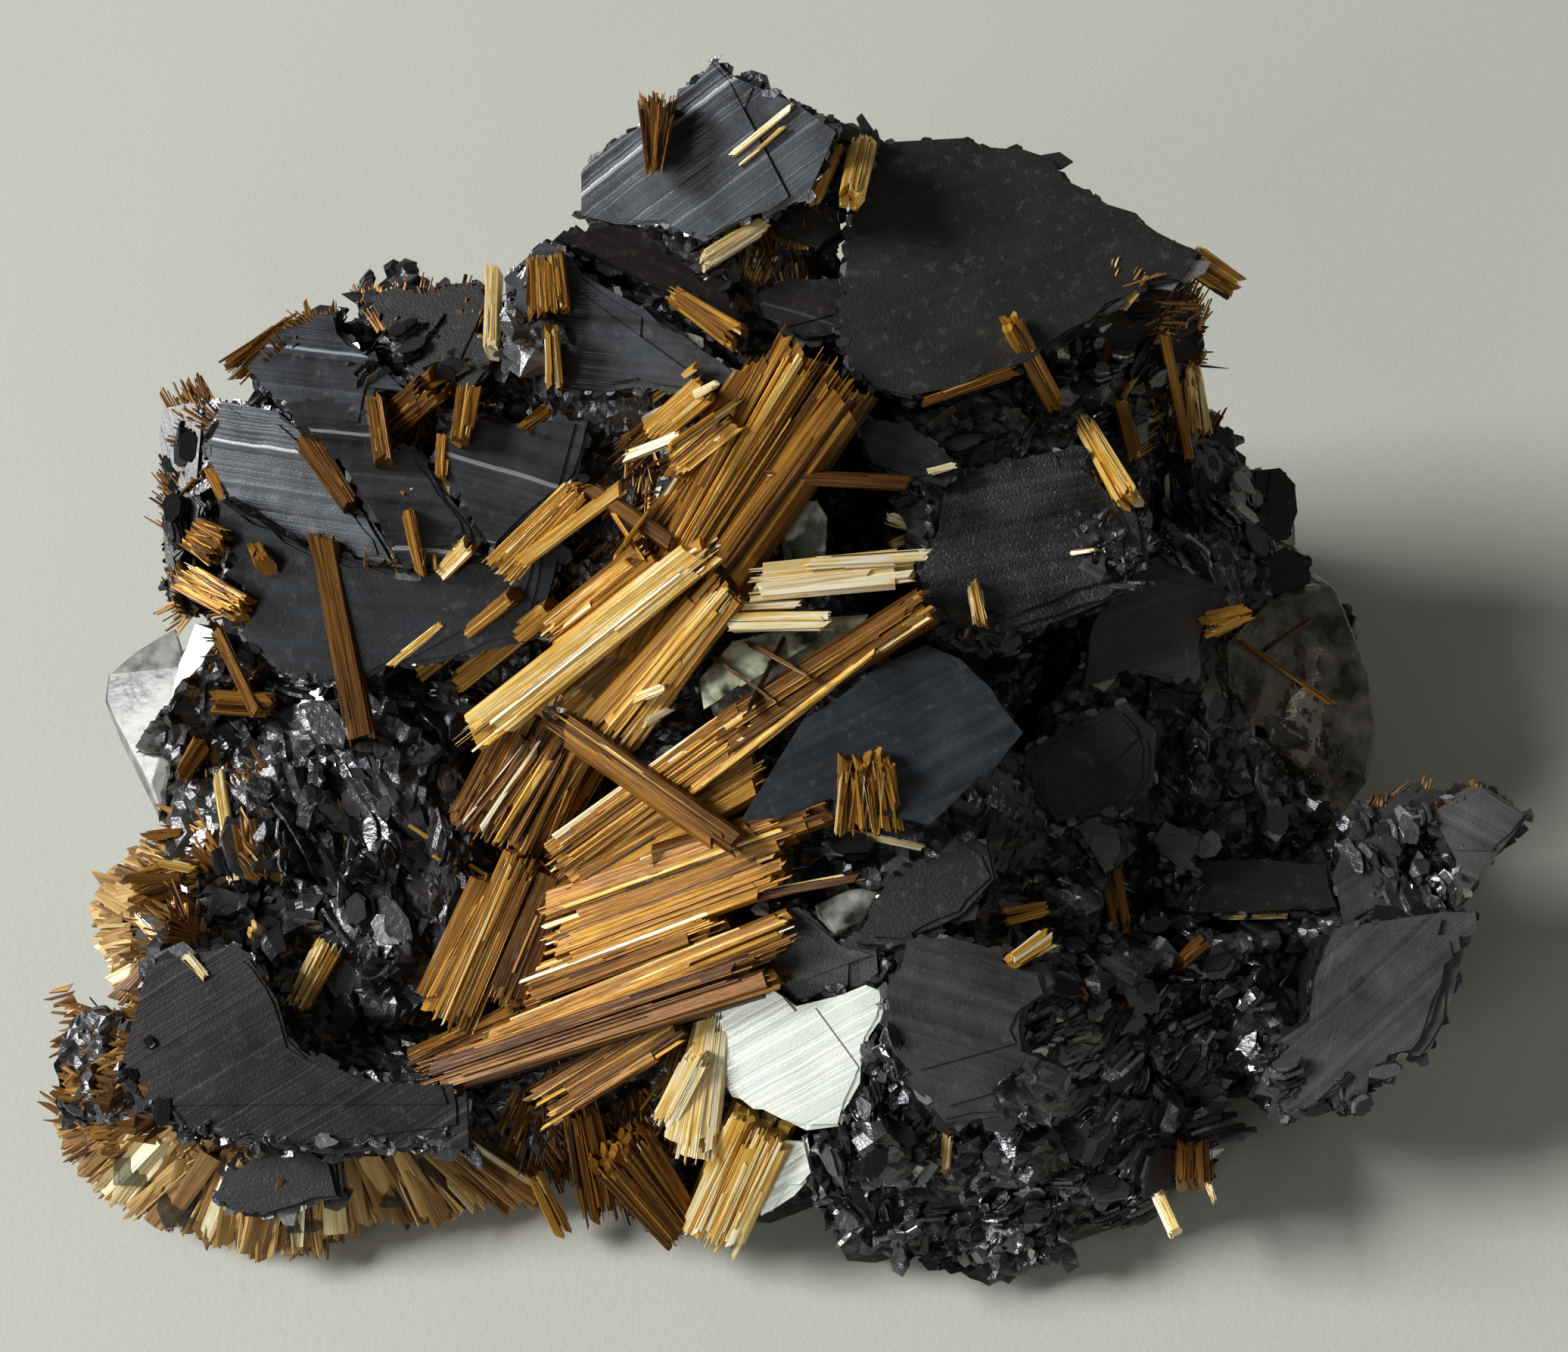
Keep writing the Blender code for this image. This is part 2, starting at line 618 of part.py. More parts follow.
        [(54.5, 75.5), (58, 72.5), (63, 74.5), (69, 72.5), (71, 83.4), (66, 85), (62, 83.8), (56, 82.6),
         (53.7, 80)],
        (62, 79, 6), 52, 4, 6.0,
    ),
}

# Patches of rubble: middle on the sheet, half width, half height, how many, size of the crystals.
RUBBLE = (
    (57.0, 73.0, 3.2, 6.5, 9, 1.7),
    (65.5, 43.5, 4.0, 2.6, 4, 1.6),
    (74.0, 35.5, 2.0, 2.2, 3, 1.3),
    (82.5, 51.5, 4.5, 4.5, 7, 1.8),
    (20.0, 51.0, 6.5, 4.5, 9, 2.5),
    (20.0, 60.5, 6.5, 5.5, 9, 2.5),
    (72.0, 77.0, 7.5, 5.5, 9, 2.1),
    (20.0, 73.6, 8.0, 1.8, 5, 1.6),
    (73.0, 61.0, 5.5, 4.0, 6, 2.0),
    (34.0, 22.0, 2.6, 4.0, 3, 1.6),
    (80.0, 67.0, 4.0, 4.0, 4, 2.0),
    (61.0, 80.5, 5.0, 2.2, 4, 1.6),
)

# Plates on the far side, in plan: x, y, height, radius, lean, turn, thickness.
FAR_PLATES = (
    (-24, 10, 15, 8.0, 62, 208, 3.0),
    (-13, 14, 20, 8.0, 70, 168, 3.4),
    (-3, 17, 24, 8.0, 58, 192, 3.4),
    (9, 17.5, 19, 8.5, 66, 176, 3.4),
    (19, 14, 16, 7.5, 60, 152, 3.2),
    (27, 4, 9, 6.5, 60, 130, 2.6),
    (-32, 3, 9, 6.5, 64, 236, 2.6),
    (2, 18, 8, 7.0, 54, 170, 3.4),
    (-12, 14, 7, 7.0, 50, 198, 3.4),
    (17, 14.5, 5, 6.0, 48, 158, 3.4),
)

# Rubble on the sides that the front view hides: the way the side faces, in degrees from the front,
# how far round it reaches, lowest and highest crystal, how many, and their size.
SIDE_RUBBLE = (
    (180, 60, 4, 28, 26, 3.0),
    (95, 26, 4, 12, 6, 2.4),
    (265, 26, 4, 14, 6, 2.4),
)


def hematite_body(home):
    """The whole dark crystal cluster, before room is made for the other minerals."""
    solids = []
    for name, (tops, feet) in CRAGS.items():
        spots = [spot(*top) for top in tops]
        spots += [Vector((x, y, -TABLE_DEPTH / 2)) for x, y in feet]
        solids.append(crag(name, spots, home))
    for name, (outline, anchor, lean, turn, thick) in PLATES.items():
        solids.append(plate(name, outline, anchor, lean, turn, thick, home))
    chance = random.Random(SEED)
    for x, y, height, radius, lean, turn, thick in FAR_PLATES:
        spin = chance.uniform(0, math.pi)
        solids.append(tablet("far plate", Vector((x, y, height)), facing(lean, turn),
        radius, thick, spin, 7, home))
    body = merged("hematite cluster", solids)
    tree = surface(body)
    grains = []
    for middle_right, middle_down, half_wide, half_high, count, size in RUBBLE:
        for _ in range(count):
            right = middle_right + half_wide * chance.uniform(-1, 1)
            down = middle_down + half_high * chance.uniform(-1, 1)
            away = Vector([chance.uniform(-1, 1) for _ in range(3)])
            radius = size * chance.uniform(0.6, 1.25)
            thick = chance.uniform(0.5, 1.1)
            place, normal = laid(tree, right, down, 0.1)
            if place is None:
                continue
            normal = (normal + away * 0.9).normalized()
            grains.append(tablet("grain", place, normal, radius, thick, chance.uniform(0, math.pi),
            5, home))
    for turn, spread, low, high, count, size in SIDE_RUBBLE:
        for number in range(count):
            share = (number + chance.random()) / count
            way = facing(90, turn + spread * (2 * share - 1))
            target = Vector((0.0, 0.0, chance.uniform(low, high)))
            place, normal, _, _ = tree.ray_cast(target + way * SIDE_REACH, -way)
            away = Vector([chance.uniform(-1, 1) for _ in range(3)])
            radius = size * chance.uniform(0.6, 1.3)
            if place is None:
                continue
            normal = (normal + away * 0.8).normalized()
            thick = radius * chance.uniform(0.4, 0.9)
            grains.append(tablet("grain", place, normal, radius, thick, chance.uniform(0, math.pi),
            5, home))
    return merged("hematite cluster", [body] + grains)


# Rutile.

# Sheaves of the main heap: start and end (right, down, height), width at each end, blades, depth.
HEAP = {
    "main sheaf": ((53.6, 23.2, 32), (41.2, 43.4, 22.5), (5.4, 2.2), 5, 3.4),
    "upper rutile sheaf": ((38.3, 32.2, 28), (33.0, 37.8, 24.5), (1.6, 2.6), 3, 1.6),
    "upper bar": ((41.1, 32.2, 28.5), (34.2, 37.3, 25.5), (0.8, 0.8), 1, 1.0),
    "upper cross bar": ((39, 32.3, 28), (44.4, 36.0, 27), (0.9, 1.0), 2, 1.2),
    "orange sheaf": ((43.4, 36.6, 27), (36.6, 42.0, 23), (2.2, 2.2), 3, 2.4),
    "tan sheaf": ((47.2, 36.1, 28.6), (30.9, 48.9, 19.8), (1.7, 2.0), 3, 1.8),
    "main sheaf flank": ((56.6, 25.8, 31), (47.0, 39.0, 26), (2.2, 2.0), 2, 2.6),
    "bright sheaf": ((48.4, 38.4, 26.5), (39.7, 48.9, 19), (2.2, 4.4), 4, 3.0),
    "brown fan": ((37.6, 48.6, 18.6), (33.2, 56.0, 14.2), (4.0, 5.8), 5, 2.6),
    "long sheaf": ((61.4, 39.9, 27), (48.0, 48.6, 21.6), (2.4, 3.4), 4, 2.4),
    "long sheaf end": ((49.5, 47.6, 22.2), (36.8, 56.8, 15.8), (3.4, 2.6), 4, 2.4),
    "long strand": ((58, 42.9, 26), (45.2, 52.8, 19.6), (0.6, 0.6), 1, 0.9),
    "thin bar": ((44.5, 53.2, 19), (38.1, 57.3, 15.6), (0.9, 0.8), 1, 1.2),
    "crossing needle": ((36.3, 47.4, 20.6), (48.6, 56.1, 20), (1.2, 1.2), 2, 1.3),
    "white bar": ((49.6, 38.6, 26.6), (60.6, 37.4, 27.6), (1.2, 1.0), 2, 1.3),
    "upper white bar": ((53.4, 37.2, 27.8), (61.3, 36.7, 28.4), (0.5, 0.5), 1, 0.9),
    "lower white bar": ((48.0, 41.1, 25.2), (54.9, 41.0, 25.8), (0.8, 0.8), 1, 1.2),
    "yellow block": ((37.5, 47.2, 20.2), (39.8, 45.0, 21), (2.2, 2.2), 2, 2.0),
    "bar beside the sheaf": ((50.8, 31.5, 29.2), (60.0, 31.9, 29.4), (0.9, 0.9), 1, 1.2),
    "yellow piece": ((46.7, 25.6, 31), (43.0, 28.8, 29), (1.8, 1.6), 2, 2.0),
    "second yellow piece": ((48.6, 27.6, 30.8), (44.8, 30.8, 28.4), (1.7, 1.6), 2, 2.0),
    "pale bar": ((45.2, 28.7, 30), (41.3, 30.3, 28.6), (0.7, 0.7), 1, 1.0),
}

# Sheaves of the near heap, in the same order.
NEAR_HEAP = {
    "broad sheaf": ((52.6, 61.2, 16.6), (31.6, 69.6, 9.6), (2.6, 2.4), 4, 2.6),
    "short sheaf": ((34.8, 56.4, 15.6), (30.0, 67.6, 10), (2.4, 2.8), 4, 2.4),
    "curved sheaf": ((52.6, 54.5, 19.6), (36.2, 60.3, 13.8), (1.8, 1.8), 3, 1.8),
    "thin needle": ((57, 57.9, 18.6), (43.5, 60.4, 15.2), (0.6, 0.6), 1, 1.0),
    "broad sheaf front": ((51.4, 63.8, 15.8), (28.6, 71.2, 8.6), (2.8, 2.2), 4, 2.8),
    "broad sheaf back": ((48.0, 60.4, 16), (33.6, 65.8, 10.6), (2.4, 2.2), 3, 2.2),
    "stub": ((46.4, 69.2, 12), (43.9, 74.2, 9), (1.6, 1.6), 2, 1.8),
    "small pile": ((42.6, 68.8, 11), (37.0, 71.4, 8.2), (1.6, 1.8), 3, 2.0),
}

# Sheaves at the foot, in the same order.
FOOT_HEAP = {
    "golden sheaf": ((51.0, 74.2, 9.6), (47.2, 81.9, 3.8), (3.4, 3.8), 5, 2.6),
    "brown sheaf": ((40.8, 75.6, 8), (45.0, 81.2, 3.6), (4.6, 3.0), 4, 2.4),
    "foot splinter": ((35.3, 77.4, 4.6), (37.2, 81.3, 2.0), (1.0, 1.3), 2, 1.2),
}

# Tufts laid on the plates: start and end on the sheet, width at each end, blades, depth.
# A height is given only where a tuft stands out past the edge of its plate.
TUFTS = {
    "tall needle": ((21.3, 35.5), (23.9, 49.0), (1.0, 1.8), 2, 1.2),
    "middle bar": ((27.8, 44.3), (34.0, 39.3), (1.0, 1.0), 2, 1.2),
    "right bar": ((30.4, 45.0), (36.4, 40.1), (1.2, 1.2), 2, 1.2),
    "brown wedge": ((19.8, 21.0, 28.6), (15.1, 24.8, 27.2), (0.9, 1.8), 3, 1.6),
    "upper tuft": ((20.2, 28.9), (23.2, 33.4), (1.9, 1.0), 2, 1.2),
    "pointed tuft": ((14.3, 31.3), (17.6, 37.4), (1.4, 0.9), 2, 1.2),
    "small tuft": ((26.9, 33.6), (27.8, 37.9), (0.9, 0.8), 2, 1.0),
    "pale tuft": ((31.1, 35.9), (29.2, 37.9), (1.2, 0.9), 2, 1.0),
    "crown tuft": ((28.8, 25.4), (25.5, 28.2), (2.2, 2.0), 3, 1.6),
    "crown splinter": ((31.0, 25.7), (30.4, 29.2), (1.6, 1.2), 2, 1.4),
    "crown leaf": ((24.8, 26.4), (25.4, 30.6), (1.2, 1.2), 2, 1.2),
    "blade tuft": ((36.0, 17.0), (36.3, 20.8), (2.2, 2.6), 3, 1.4),
    "lower blade tuft": ((36.4, 21.6), (36.6, 25.4), (0.8, 1.2), 2, 1.2),
    "yellow needles": ((32.6, 18.0), (32.5, 23.5), (0.8, 1.0), 2, 1.1),
    "top tuft": ((43.5, 6.2, 39.8), (43.2, 11.4, 36.95), (2.8, 0.8), 2, 1.4),
    "pale top sheaf": ((55.4, 9.6), (53.4, 13.5), (0.7, 1.4), 2, 1.3),
    "top pair": ((57.0, 9.6), (56.2, 13.2), (1.4, 1.4), 2, 1.4),
    "pale sheaf": ((50.6, 14.8), (46.4, 17.4), (0.9, 1.1), 2, 1.4),
    "gold crown": ((44.4, 19.4), (48.9, 22.4), (1.0, 1.9), 2, 1.6),
    "orange tuft": ((12.6, 35.2), (14.8, 36.4), (2.0, 2.4), 3, 1.6),
    "left fan": ((12.0, 38.0), (16.2, 40.4), (2.0, 1.6), 2, 1.4),
    "star": ((14.0, 46.4), (18.0, 46.6), (1.4, 1.4), 2, 1.4),
    "brown piece": ((13.4, 49.2), (11.9, 51.4), (1.4, 1.0), 2, 1.2),
    "curved needle": ((14.4, 51.0), (15.6, 58.6), (0.8, 0.7), 1, 1.0),
    "green gold tuft": ((13.0, 57.6), (8.6, 59.0), (2.2, 2.0), 3, 1.4),
    "pale leaves": ((21.8, 62.4), (19.6, 66.6), (1.9, 1.4), 2, 1.3),
    "leaf": ((66.8, 21.2), (69.8, 26.8), (1.2, 1.0), 2, 1.3),
    "long bar": ((60.9, 26.6), (67.0, 24.5), (0.7, 0.7), 1, 1.1),
    "pale star": ((71.6, 28.0), (74.6, 33.2), (1.2, 1.6), 2, 1.3),
    "orange spur": ((74.0, 26.4), (75.0, 30.2), (0.8, 0.9), 2, 1.2),
    "rutile tip": ((78.6, 17.0, 31.4), (81.6, 19.0, 30.4), (1.8, 1.6), 3, 1.6),
    "frayed tuft": ((78.7, 24.0), (79.2, 28.8), (1.0, 1.7), 3, 1.3),
    "straight bar": ((76.9, 22.0), (78.6, 30.4), (0.6, 0.6), 1, 1.1),
    "small spur": ((64.3, 38.6), (64.9, 41.3), (0.8, 1.1), 2, 1.1),
    "plate tuft": ((57.2, 50.2), (57.4, 54.6), (3.6, 3.6), 4, 1.0),
    "cream tuft": ((82.3, 40.5), (79.7, 41.4), (0.9, 1.5), 2, 1.2),
    "facet tuft": ((73.4, 57.8), (74.1, 61.4), (1.4, 1.2), 2, 1.2),
    "double leaf": ((69.0, 60.0), (66.1, 60.6), (0.9, 1.2), 2, 1.2),
    "lower leaf": ((69.2, 62.0), (66.8, 63.6), (1.4, 0.9), 2, 1.2),
    "brown spur": ((79.4, 62.3), (77.9, 63.6), (1.1, 0.9), 2, 1.1),
    "low pale bar": ((76.5, 78.8), (77.7, 81.5), (0.9, 0.9), 2, 1.1),
    "brown fringe": ((78.9, 75.8), (78.9, 78.4), (2.2, 2.4), 3, 1.2),
}


# Fringes of fibres that stand out past the rock, as outline, a spot on the face, lean, turn and thickness.
FRINGES = {
    "near fringe": (
        [(3.4, 75), (5.2, 78.6), (8, 80.3), (10.5, 81.8), (12.7, 81.8), (14.2, 82.7), (15, 81.9),
         (16.8, 83.4),
         (18.5, 82), (20.6, 83.5), (22.8, 81.6), (24, 81.4), (25.5, 80.2), (27.5, 79.6), (28.8, 81.1),
         (29.2, 79.2),
         (32.5, 79.3), (36.6, 79.4), (34, 77), (28, 76.6), (22, 77.6), (14, 76.6), (8, 74.4)],
        (18, 80.5, 3.2), 26, -4, 2.2,
    ),
    "left fringe": (
        [(6.1, 59.4), (6.6, 58.4), (9.4, 57.8), (12, 58.6), (10.6, 60.2), (9.6, 63), (10.4, 66.4),
         (8.6, 67.8),
         (7.4, 65), (6.6, 62)],
        (8.6, 61, 6.6), 30, -14, 1.8,
    ),
}


def fringe_plates(home, holes):
    """Build the fringes and the room that they need."""
    solids = []
    for name, (outline, anchor, lean, turn, thick) in FRINGES.items():
        solids.append(plate(name, outline, anchor, lean, turn, thick, home))
        middle = [sum(part) / len(outline) for part in zip(*outline)]
        wider = []
        for corner in outline:
            wider.append([mid + (value - mid) * FRINGE_ROOM for value, mid in zip(corner, middle)])
        raised = (anchor[0], anchor[1], anchor[2] + SOCKET_GAP)
        holes.append(plate(name + " room", wider, raised, lean, turn, thick + 2 * SOCKET_GAP, home, 1.0))
    return solids


def sheaf_frame(start, end):
    """Directions along, across and through a sheaf that faces the eye, and its size per sheet millimetre."""
    run = (end - start).normalized()
    toward = (EYE - (start + end) / 2).normalized()
    depth_way = (toward - run * toward.dot(run)).normalized()
    across = run.cross(depth_way).normalized()
    return run, across, depth_way, (start - EYE).length / SHEET_REACH


def sheaf(name, start, end, wide, blades, depth, chance, home):
    """Blades side by side, each a little longer or shorter than the next, as loose solids that overlap."""
    run, across, depth_way, size = sheaf_frame(start, end)
    reach = (end - start).length
    step = (wide[0] * size / blades, wide[1] * size / blades)
    made = []
    for number in range(blades):
        place = number - (blades - 1) / 2
        first = start + across * (step[0] * place) + run * (reach * chance.uniform(0.0, SHORTENING))
        last = end + across * (step[1] * place) - run * (reach * chance.uniform(0.0, SHORTENING))
        rise = depth_way * chance.uniform(-BLADE_RISE, BLADE_RISE) * depth
        blade_wide = (step[0] * BLADE_OVERLAP, step[1] * BLADE_OVERLAP)
        blade_thick = depth * chance.uniform(0.8, 1.0)
        slant = min(blade_wide) * chance.uniform(-0.3, 0.3)
        made.append(
            lath(name, first + rise, last + rise, across, depth_way, blade_wide, blade_thick, slant, home)
        )
    return made


def room(name, start, end, wide, depth, home):
    """Plain block a little larger than a sheaf, to make room for it."""
    run, across, depth_way, size = sheaf_frame(start, end)
    spare = SOCKET_GAP * 2
    return lath(
        name, start - run * (SOCKET_GAP + SHORTENING * depth),
        end + run * (SOCKET_GAP + SHORTENING * depth),
        across, depth_way, (wide[0] * size * BLADE_OVERLAP + spare, wide[1] * size * BLADE_OVERLAP + spare),
        depth * (1 + 2 * BLADE_RISE) + spare, 0.0, home,
    )


def seat(name, solid, home):
    """Block a little larger than a piece of quartz, to make room for it."""
    corners = [vert.co / MM for vert in solid.data.vertices]
    middle = sum(corners, Vector()) / len(corners)
    spots = [corner + (corner - middle).normalized() * SOCKET_GAP * SEAT_SHARE for corner in corners]
    return crag(name, spots, home)


def heap_of(sheaves, chance, home, holes):
    """Build one crossing heap and the room that it needs."""
    solids = []
    for name, (start, end, wide, blades, depth) in sheaves.items():
        blades_made = sheaf(name, spot(*start), spot(*end), wide, blades, depth, chance, home)
        holes.append(room(name + " room", spot(*start), spot(*end), wide, depth, home))
        solids += blades_made
    return solids


def tufts_on(tree, chance, home, holes):
    """Build the tufts that lie on the plates and the room that they need."""
    solids = []
    for name, (start, end, wide, blades, depth) in TUFTS.items():
        lift = depth / 2 + SOCKET_GAP
        first, last = laid_pair(tree, start, end, lift)
        blades_made = sheaf(name, first, last, wide, blades, depth, chance, home)
        holes.append(room(name + " room", first, last, wide, depth, home))
        solids += blades_made
    return solids


# Quartz.

# Quartz pieces: spots (right, down, height) on the corners of the face, and how deep the crystal is.
QUARTZ = {
    "right smoky quartz": (
        [(86.5, 37.5, 12), (88.3, 38.8, 13), (88.6, 40.6, 13), (90.4, 44.2, 12), (91, 48.2, 10),
         (90.4, 51.6, 8),
         (87.5, 52, 8), (83, 48.3, 12), (81, 45.3, 14.5), (81, 42.6, 15.5), (83.8, 39.8, 14.5)],
        8.5,
    ),
    "left quartz": (
        [(6.9, 46.3, 8), (7.1, 44.6, 8.4), (9, 43, 9), (11.6, 41.4, 10), (12.4, 44, 10), (11.2, 49.4, 8.4),
         (9.9, 52, 7.6), (10.6, 54.2, 7), (8, 49, 7)],
        5.5,
    ),
    "upper quartz": (
        [(51.4, 33.2, 27.4), (54, 33, 27.8), (54.7, 34.1, 27.6), (54.6, 36.4, 26.6), (52.2, 36.4, 26.6),
         (51.5, 35, 27)],
        2.6,
    ),
    "lower quartz": (
        [(54.6, 40.8, 24.2), (57.4, 40.6, 24.4), (56, 43.0, 23.6), (50.5, 44.6, 23.2), (46.6, 47.6, 22),
         (46.2, 44.9, 22.6), (48.4, 42.4, 23.6)],
        3.0,
    ),
    "pale quartz": (
        [(53.8, 59.8, 17.4), (56.4, 58.6, 18), (58, 59.0, 18), (57, 60.9, 17), (55.2, 61.6, 16.4)],
        2.6,
    ),
}


def quartz_block(name, corners, deep, home):
    """Blocky crystal: its drawn corners and the same ones lower down, drawn in a little."""
    face = [spot(*corner) for corner in corners]
    middle = sum(face, Vector()) / len(face)
    root = [middle + (place - middle) * QUARTZ_TAPER - Vector((0.0, 0.0, deep)) for place in face]
    return crag(name, face + root, home)


def main():
    """Build the specimen."""
    for item in list(bpy.context.scene.objects):
        bpy.data.objects.remove(item)
    home = bpy.data.collections.new("Rutile on hematite")
    bpy.context.scene.collection.children.link(home)
    chance = random.Random(SEED + 1)

    rock = hematite_body(home)
    tree = surface(rock)
    holes = []
    blades = fringe_plates(home, holes)
    blades += heap_of(HEAP, chance, home, holes)
    blades += heap_of(NEAR_HEAP, chance, home, holes)
    blades += heap_of(FOOT_HEAP, chance, home, holes)
    blades += tufts_on(tree, chance, home, holes)
    owners = [(blade.name.split(".")[0], centre_of(blade)) for blade in blades]

    quartz = []
    for name, (corners, deep) in QUARTZ.items():
        quartz.append(quartz_block(name, corners, deep, home))

    rutile = merged("rutile", blades)
    tidied(rutile)
    golds = []
    for volume, faces in bodies(rutile):
        if volume < CHIP_VOLUME:
            continue
        body = bpy.data.objects.new("rutile", only(rutile, faces))
        home.objects.link(body)
        name_by_owner(body, owners)
        golds.append(body)
    bpy.data.objects.remove(rutile)

    table = bmesh.new()
    bmesh.ops.create_cube(table, size=1.0)
    bmesh.ops.scale(table, vec=(200.0, 200.0, TABLE_DEPTH), verts=table.verts)
    bmesh.ops.translate(table, vec=(0.0, 0.0, -TABLE_DEPTH / 2), verts=table.verts)
    floor = from_bmesh("table", table, home)

    rooms = [seat(piece.name + " room", piece, home) for piece in quartz]
    for piece in quartz:
        copies = []
        for hole in holes:
            copy = hole.copy()
            copy.data = hole.data.copy()
            home.objects.link(copy)
            copies.append(copy)
        boolean(piece, "DIFFERENCE", copies)
        tidied(piece)
        keep_largest(piece)
    boolean(rock, "DIFFERENCE", holes + rooms + [floor])
    tidied(rock)
    keep_largest(rock)
    thinned(rock, ROCK_SHARE)

    finish = material("hematite", HEMATITE_COLOUR, 0.8, 0.35)
    rock.data.materials.clear()
    rock.data.materials.append(finish)
    for piece in quartz:
        piece.data.materials.clear()
        piece.data.materials.append(material(piece.name, QUARTZ_COLOUR, 0.0, 0.1))
    for piece in golds:
        piece.data.materials.clear()
        piece.data.materials.append(material(piece.name, RUTILE_COLOUR, 0.2, 0.3))


def centre_of(made):
    """Middle of an object's corners."""
    corners = [vert.co for vert in made.data.vertices]
    return sum(corners, Vector()) / len(corners)


def holds(tree, place):
    """Whether a place is inside a closed body."""
    count = 0
    up = Vector((0.0013, 0.0021, 1.0)).normalized()
    hit, _, _, _ = tree.ray_cast(place, up)
    while hit is not None:
        count += 1
        hit, _, _, _ = tree.ray_cast(hit + up * (0.001 * MM), up)
    return count % 2 == 1


def name_by_owner(body, owners):
    """Call a body after the first sheaf whose blade runs through it."""
    mesh = body.data
    faces = [tuple(face.vertices) for face in mesh.polygons]
    tree = BVHTree.FromPolygons([vert.co for vert in mesh.vertices], faces)
    for name, place in owners:
        if holds(tree, place):
            body.name = name
            return


main()
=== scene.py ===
"""Looks of a mineral specimen: dark hematite plates grown through with golden rutile, and some quartz.

Everything is in metres in the frame's own place. Outlines and crystal ends are given in millimetres on a
drawing sheet that stands between the eye and the specimen: first number to the right, second down.
"""

import json
import logging
import math
import random
from dataclasses import dataclass, field
from enum import Enum
from typing import Any, Iterator, Optional, Sequence

import bpy
import bmesh
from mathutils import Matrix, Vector, noise
from mathutils.bvhtree import BVHTree


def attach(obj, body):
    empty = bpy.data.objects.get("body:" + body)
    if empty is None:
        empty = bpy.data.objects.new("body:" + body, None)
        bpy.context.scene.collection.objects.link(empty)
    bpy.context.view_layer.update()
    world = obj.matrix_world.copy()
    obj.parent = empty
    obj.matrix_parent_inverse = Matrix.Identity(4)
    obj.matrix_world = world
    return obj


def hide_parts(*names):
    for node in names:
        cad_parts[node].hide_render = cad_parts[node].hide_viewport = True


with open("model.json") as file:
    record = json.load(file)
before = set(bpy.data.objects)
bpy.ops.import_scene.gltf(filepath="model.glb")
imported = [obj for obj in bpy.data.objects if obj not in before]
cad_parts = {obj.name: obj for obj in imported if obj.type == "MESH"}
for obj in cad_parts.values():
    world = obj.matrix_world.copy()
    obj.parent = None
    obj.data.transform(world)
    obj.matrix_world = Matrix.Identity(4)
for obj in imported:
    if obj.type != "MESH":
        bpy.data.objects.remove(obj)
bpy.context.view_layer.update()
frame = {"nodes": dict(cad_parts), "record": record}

LOG = logging.getLogger("specimen")

MM = 0.001
EYE_ELEVATION = math.radians(55.0)
EYE_REACH = 137.5
SHEET_REACH = 144.35
SHEET_MIDDLE = (51.8, 44.675)
BASE_FORWARD = 10.0
LENS_MM = 50.16
SENSOR_MM = 36.0
SEED = 7

EYE = Vector((
    0.0,
    BASE_FORWARD - EYE_REACH * math.cos(EYE_ELEVATION),
    EYE_REACH * math.sin(EYE_ELEVATION),
))

Colour = tuple[float, float, float]
Spot = tuple[float, ...]
Pair = tuple[float, float]

# The spot in metres that the lights look at.
LIT_SPOT = (0.0, -0.005, 0.02)
# How the ground between the plates is broken up: longest edge toward the viewer and elsewhere, most rounds of
# cutting to get there, lowest place, height above the table from which it starts to be rough and from there
# to full, and cells with their depths and the limits of the rise.
GROUND_STEP = 0.55
FAR_STEP = 0.95
GROUND_ROUNDS = 8
LOWEST = 0.03
CALM_BELOW = 0.4
CALM_RISE = 1.5
GROUND_CELLS = ((0.34, 0.75), (0.85, 0.42), (2.0, 0.16))
GROUND_LIMITS = (-0.5, 1.0)
# Parts of the sheet where the ground runs one way: middle, half size, way and how much it is drawn out.
FLOWS = (
    ((21.0, 58.0), (9.5, 13.0), Vector((0.4, -0.85, -0.34)).normalized(), 0.7),
    ((72.0, 74.0), (15.0, 11.0), Vector((0.86, 0.48, 0.17)).normalized(), 0.6),
)
# Plates that are broken ground, plates that the ground near them is pressed flat onto, plates without frayed
# rims, and plates that nothing grows on, with how much of each stays clear.
ROUGH_PLATES = {"corner_cluster", "front_slope", "layered_slope", "sparkling_slope"}
FLATTENED = {"bright_facet", "near_rosette", "bright_chunk"}
SMOOTH_RIMS = {"bright_facet", "bright_chunk", "low_bright_facet", "white_plate"}
CLEAN = {"big_dark_plate": 0.95, "near_plate": 0.97, "bright_facet": 1.12, "bright_chunk": 1.1,
         "low_bright_facet": 1.1, "white_plate": 1.0, "near_rosette": 0.84, "blade_behind": 0.95,
         "front_plate": 0.85, "smooth_slope": 0.85, "far_rosette": 0.75}
# How far behind and in front of such a flattened plate the ground is pressed onto it.
PRESSED = (-0.2, 2.2)
# How well a face of the rock must look the way its plate does, and how little the way its sides do.
SAME_WAY = 0.985
SIDE_WAY = 0.4
# Smallest angle in degrees that counts as a sharp edge on the rock and on quartz.
SHARP_ROCK = 20
SHARP_QUARTZ = 12
# Flakes along rims: one to this many millimetres, their mean lightness, and how much wider they are below.
RIM_STEP = 0.6
RIM_LIGHT = 0.36
FOOT_SPREAD = 1.04
# Crystals all round: how many, their lowest place, and how far down the rock may face where they grow.
OUTER_CRYSTALS = 900
OUTER_LOWEST = 1.8
OUTER_FACING = -0.5
# Share of crystals that shine, and how far ahead on the sheet the way a crystal runs is read.
BRIGHT_SHARE = 0.08
AHEAD = 0.3
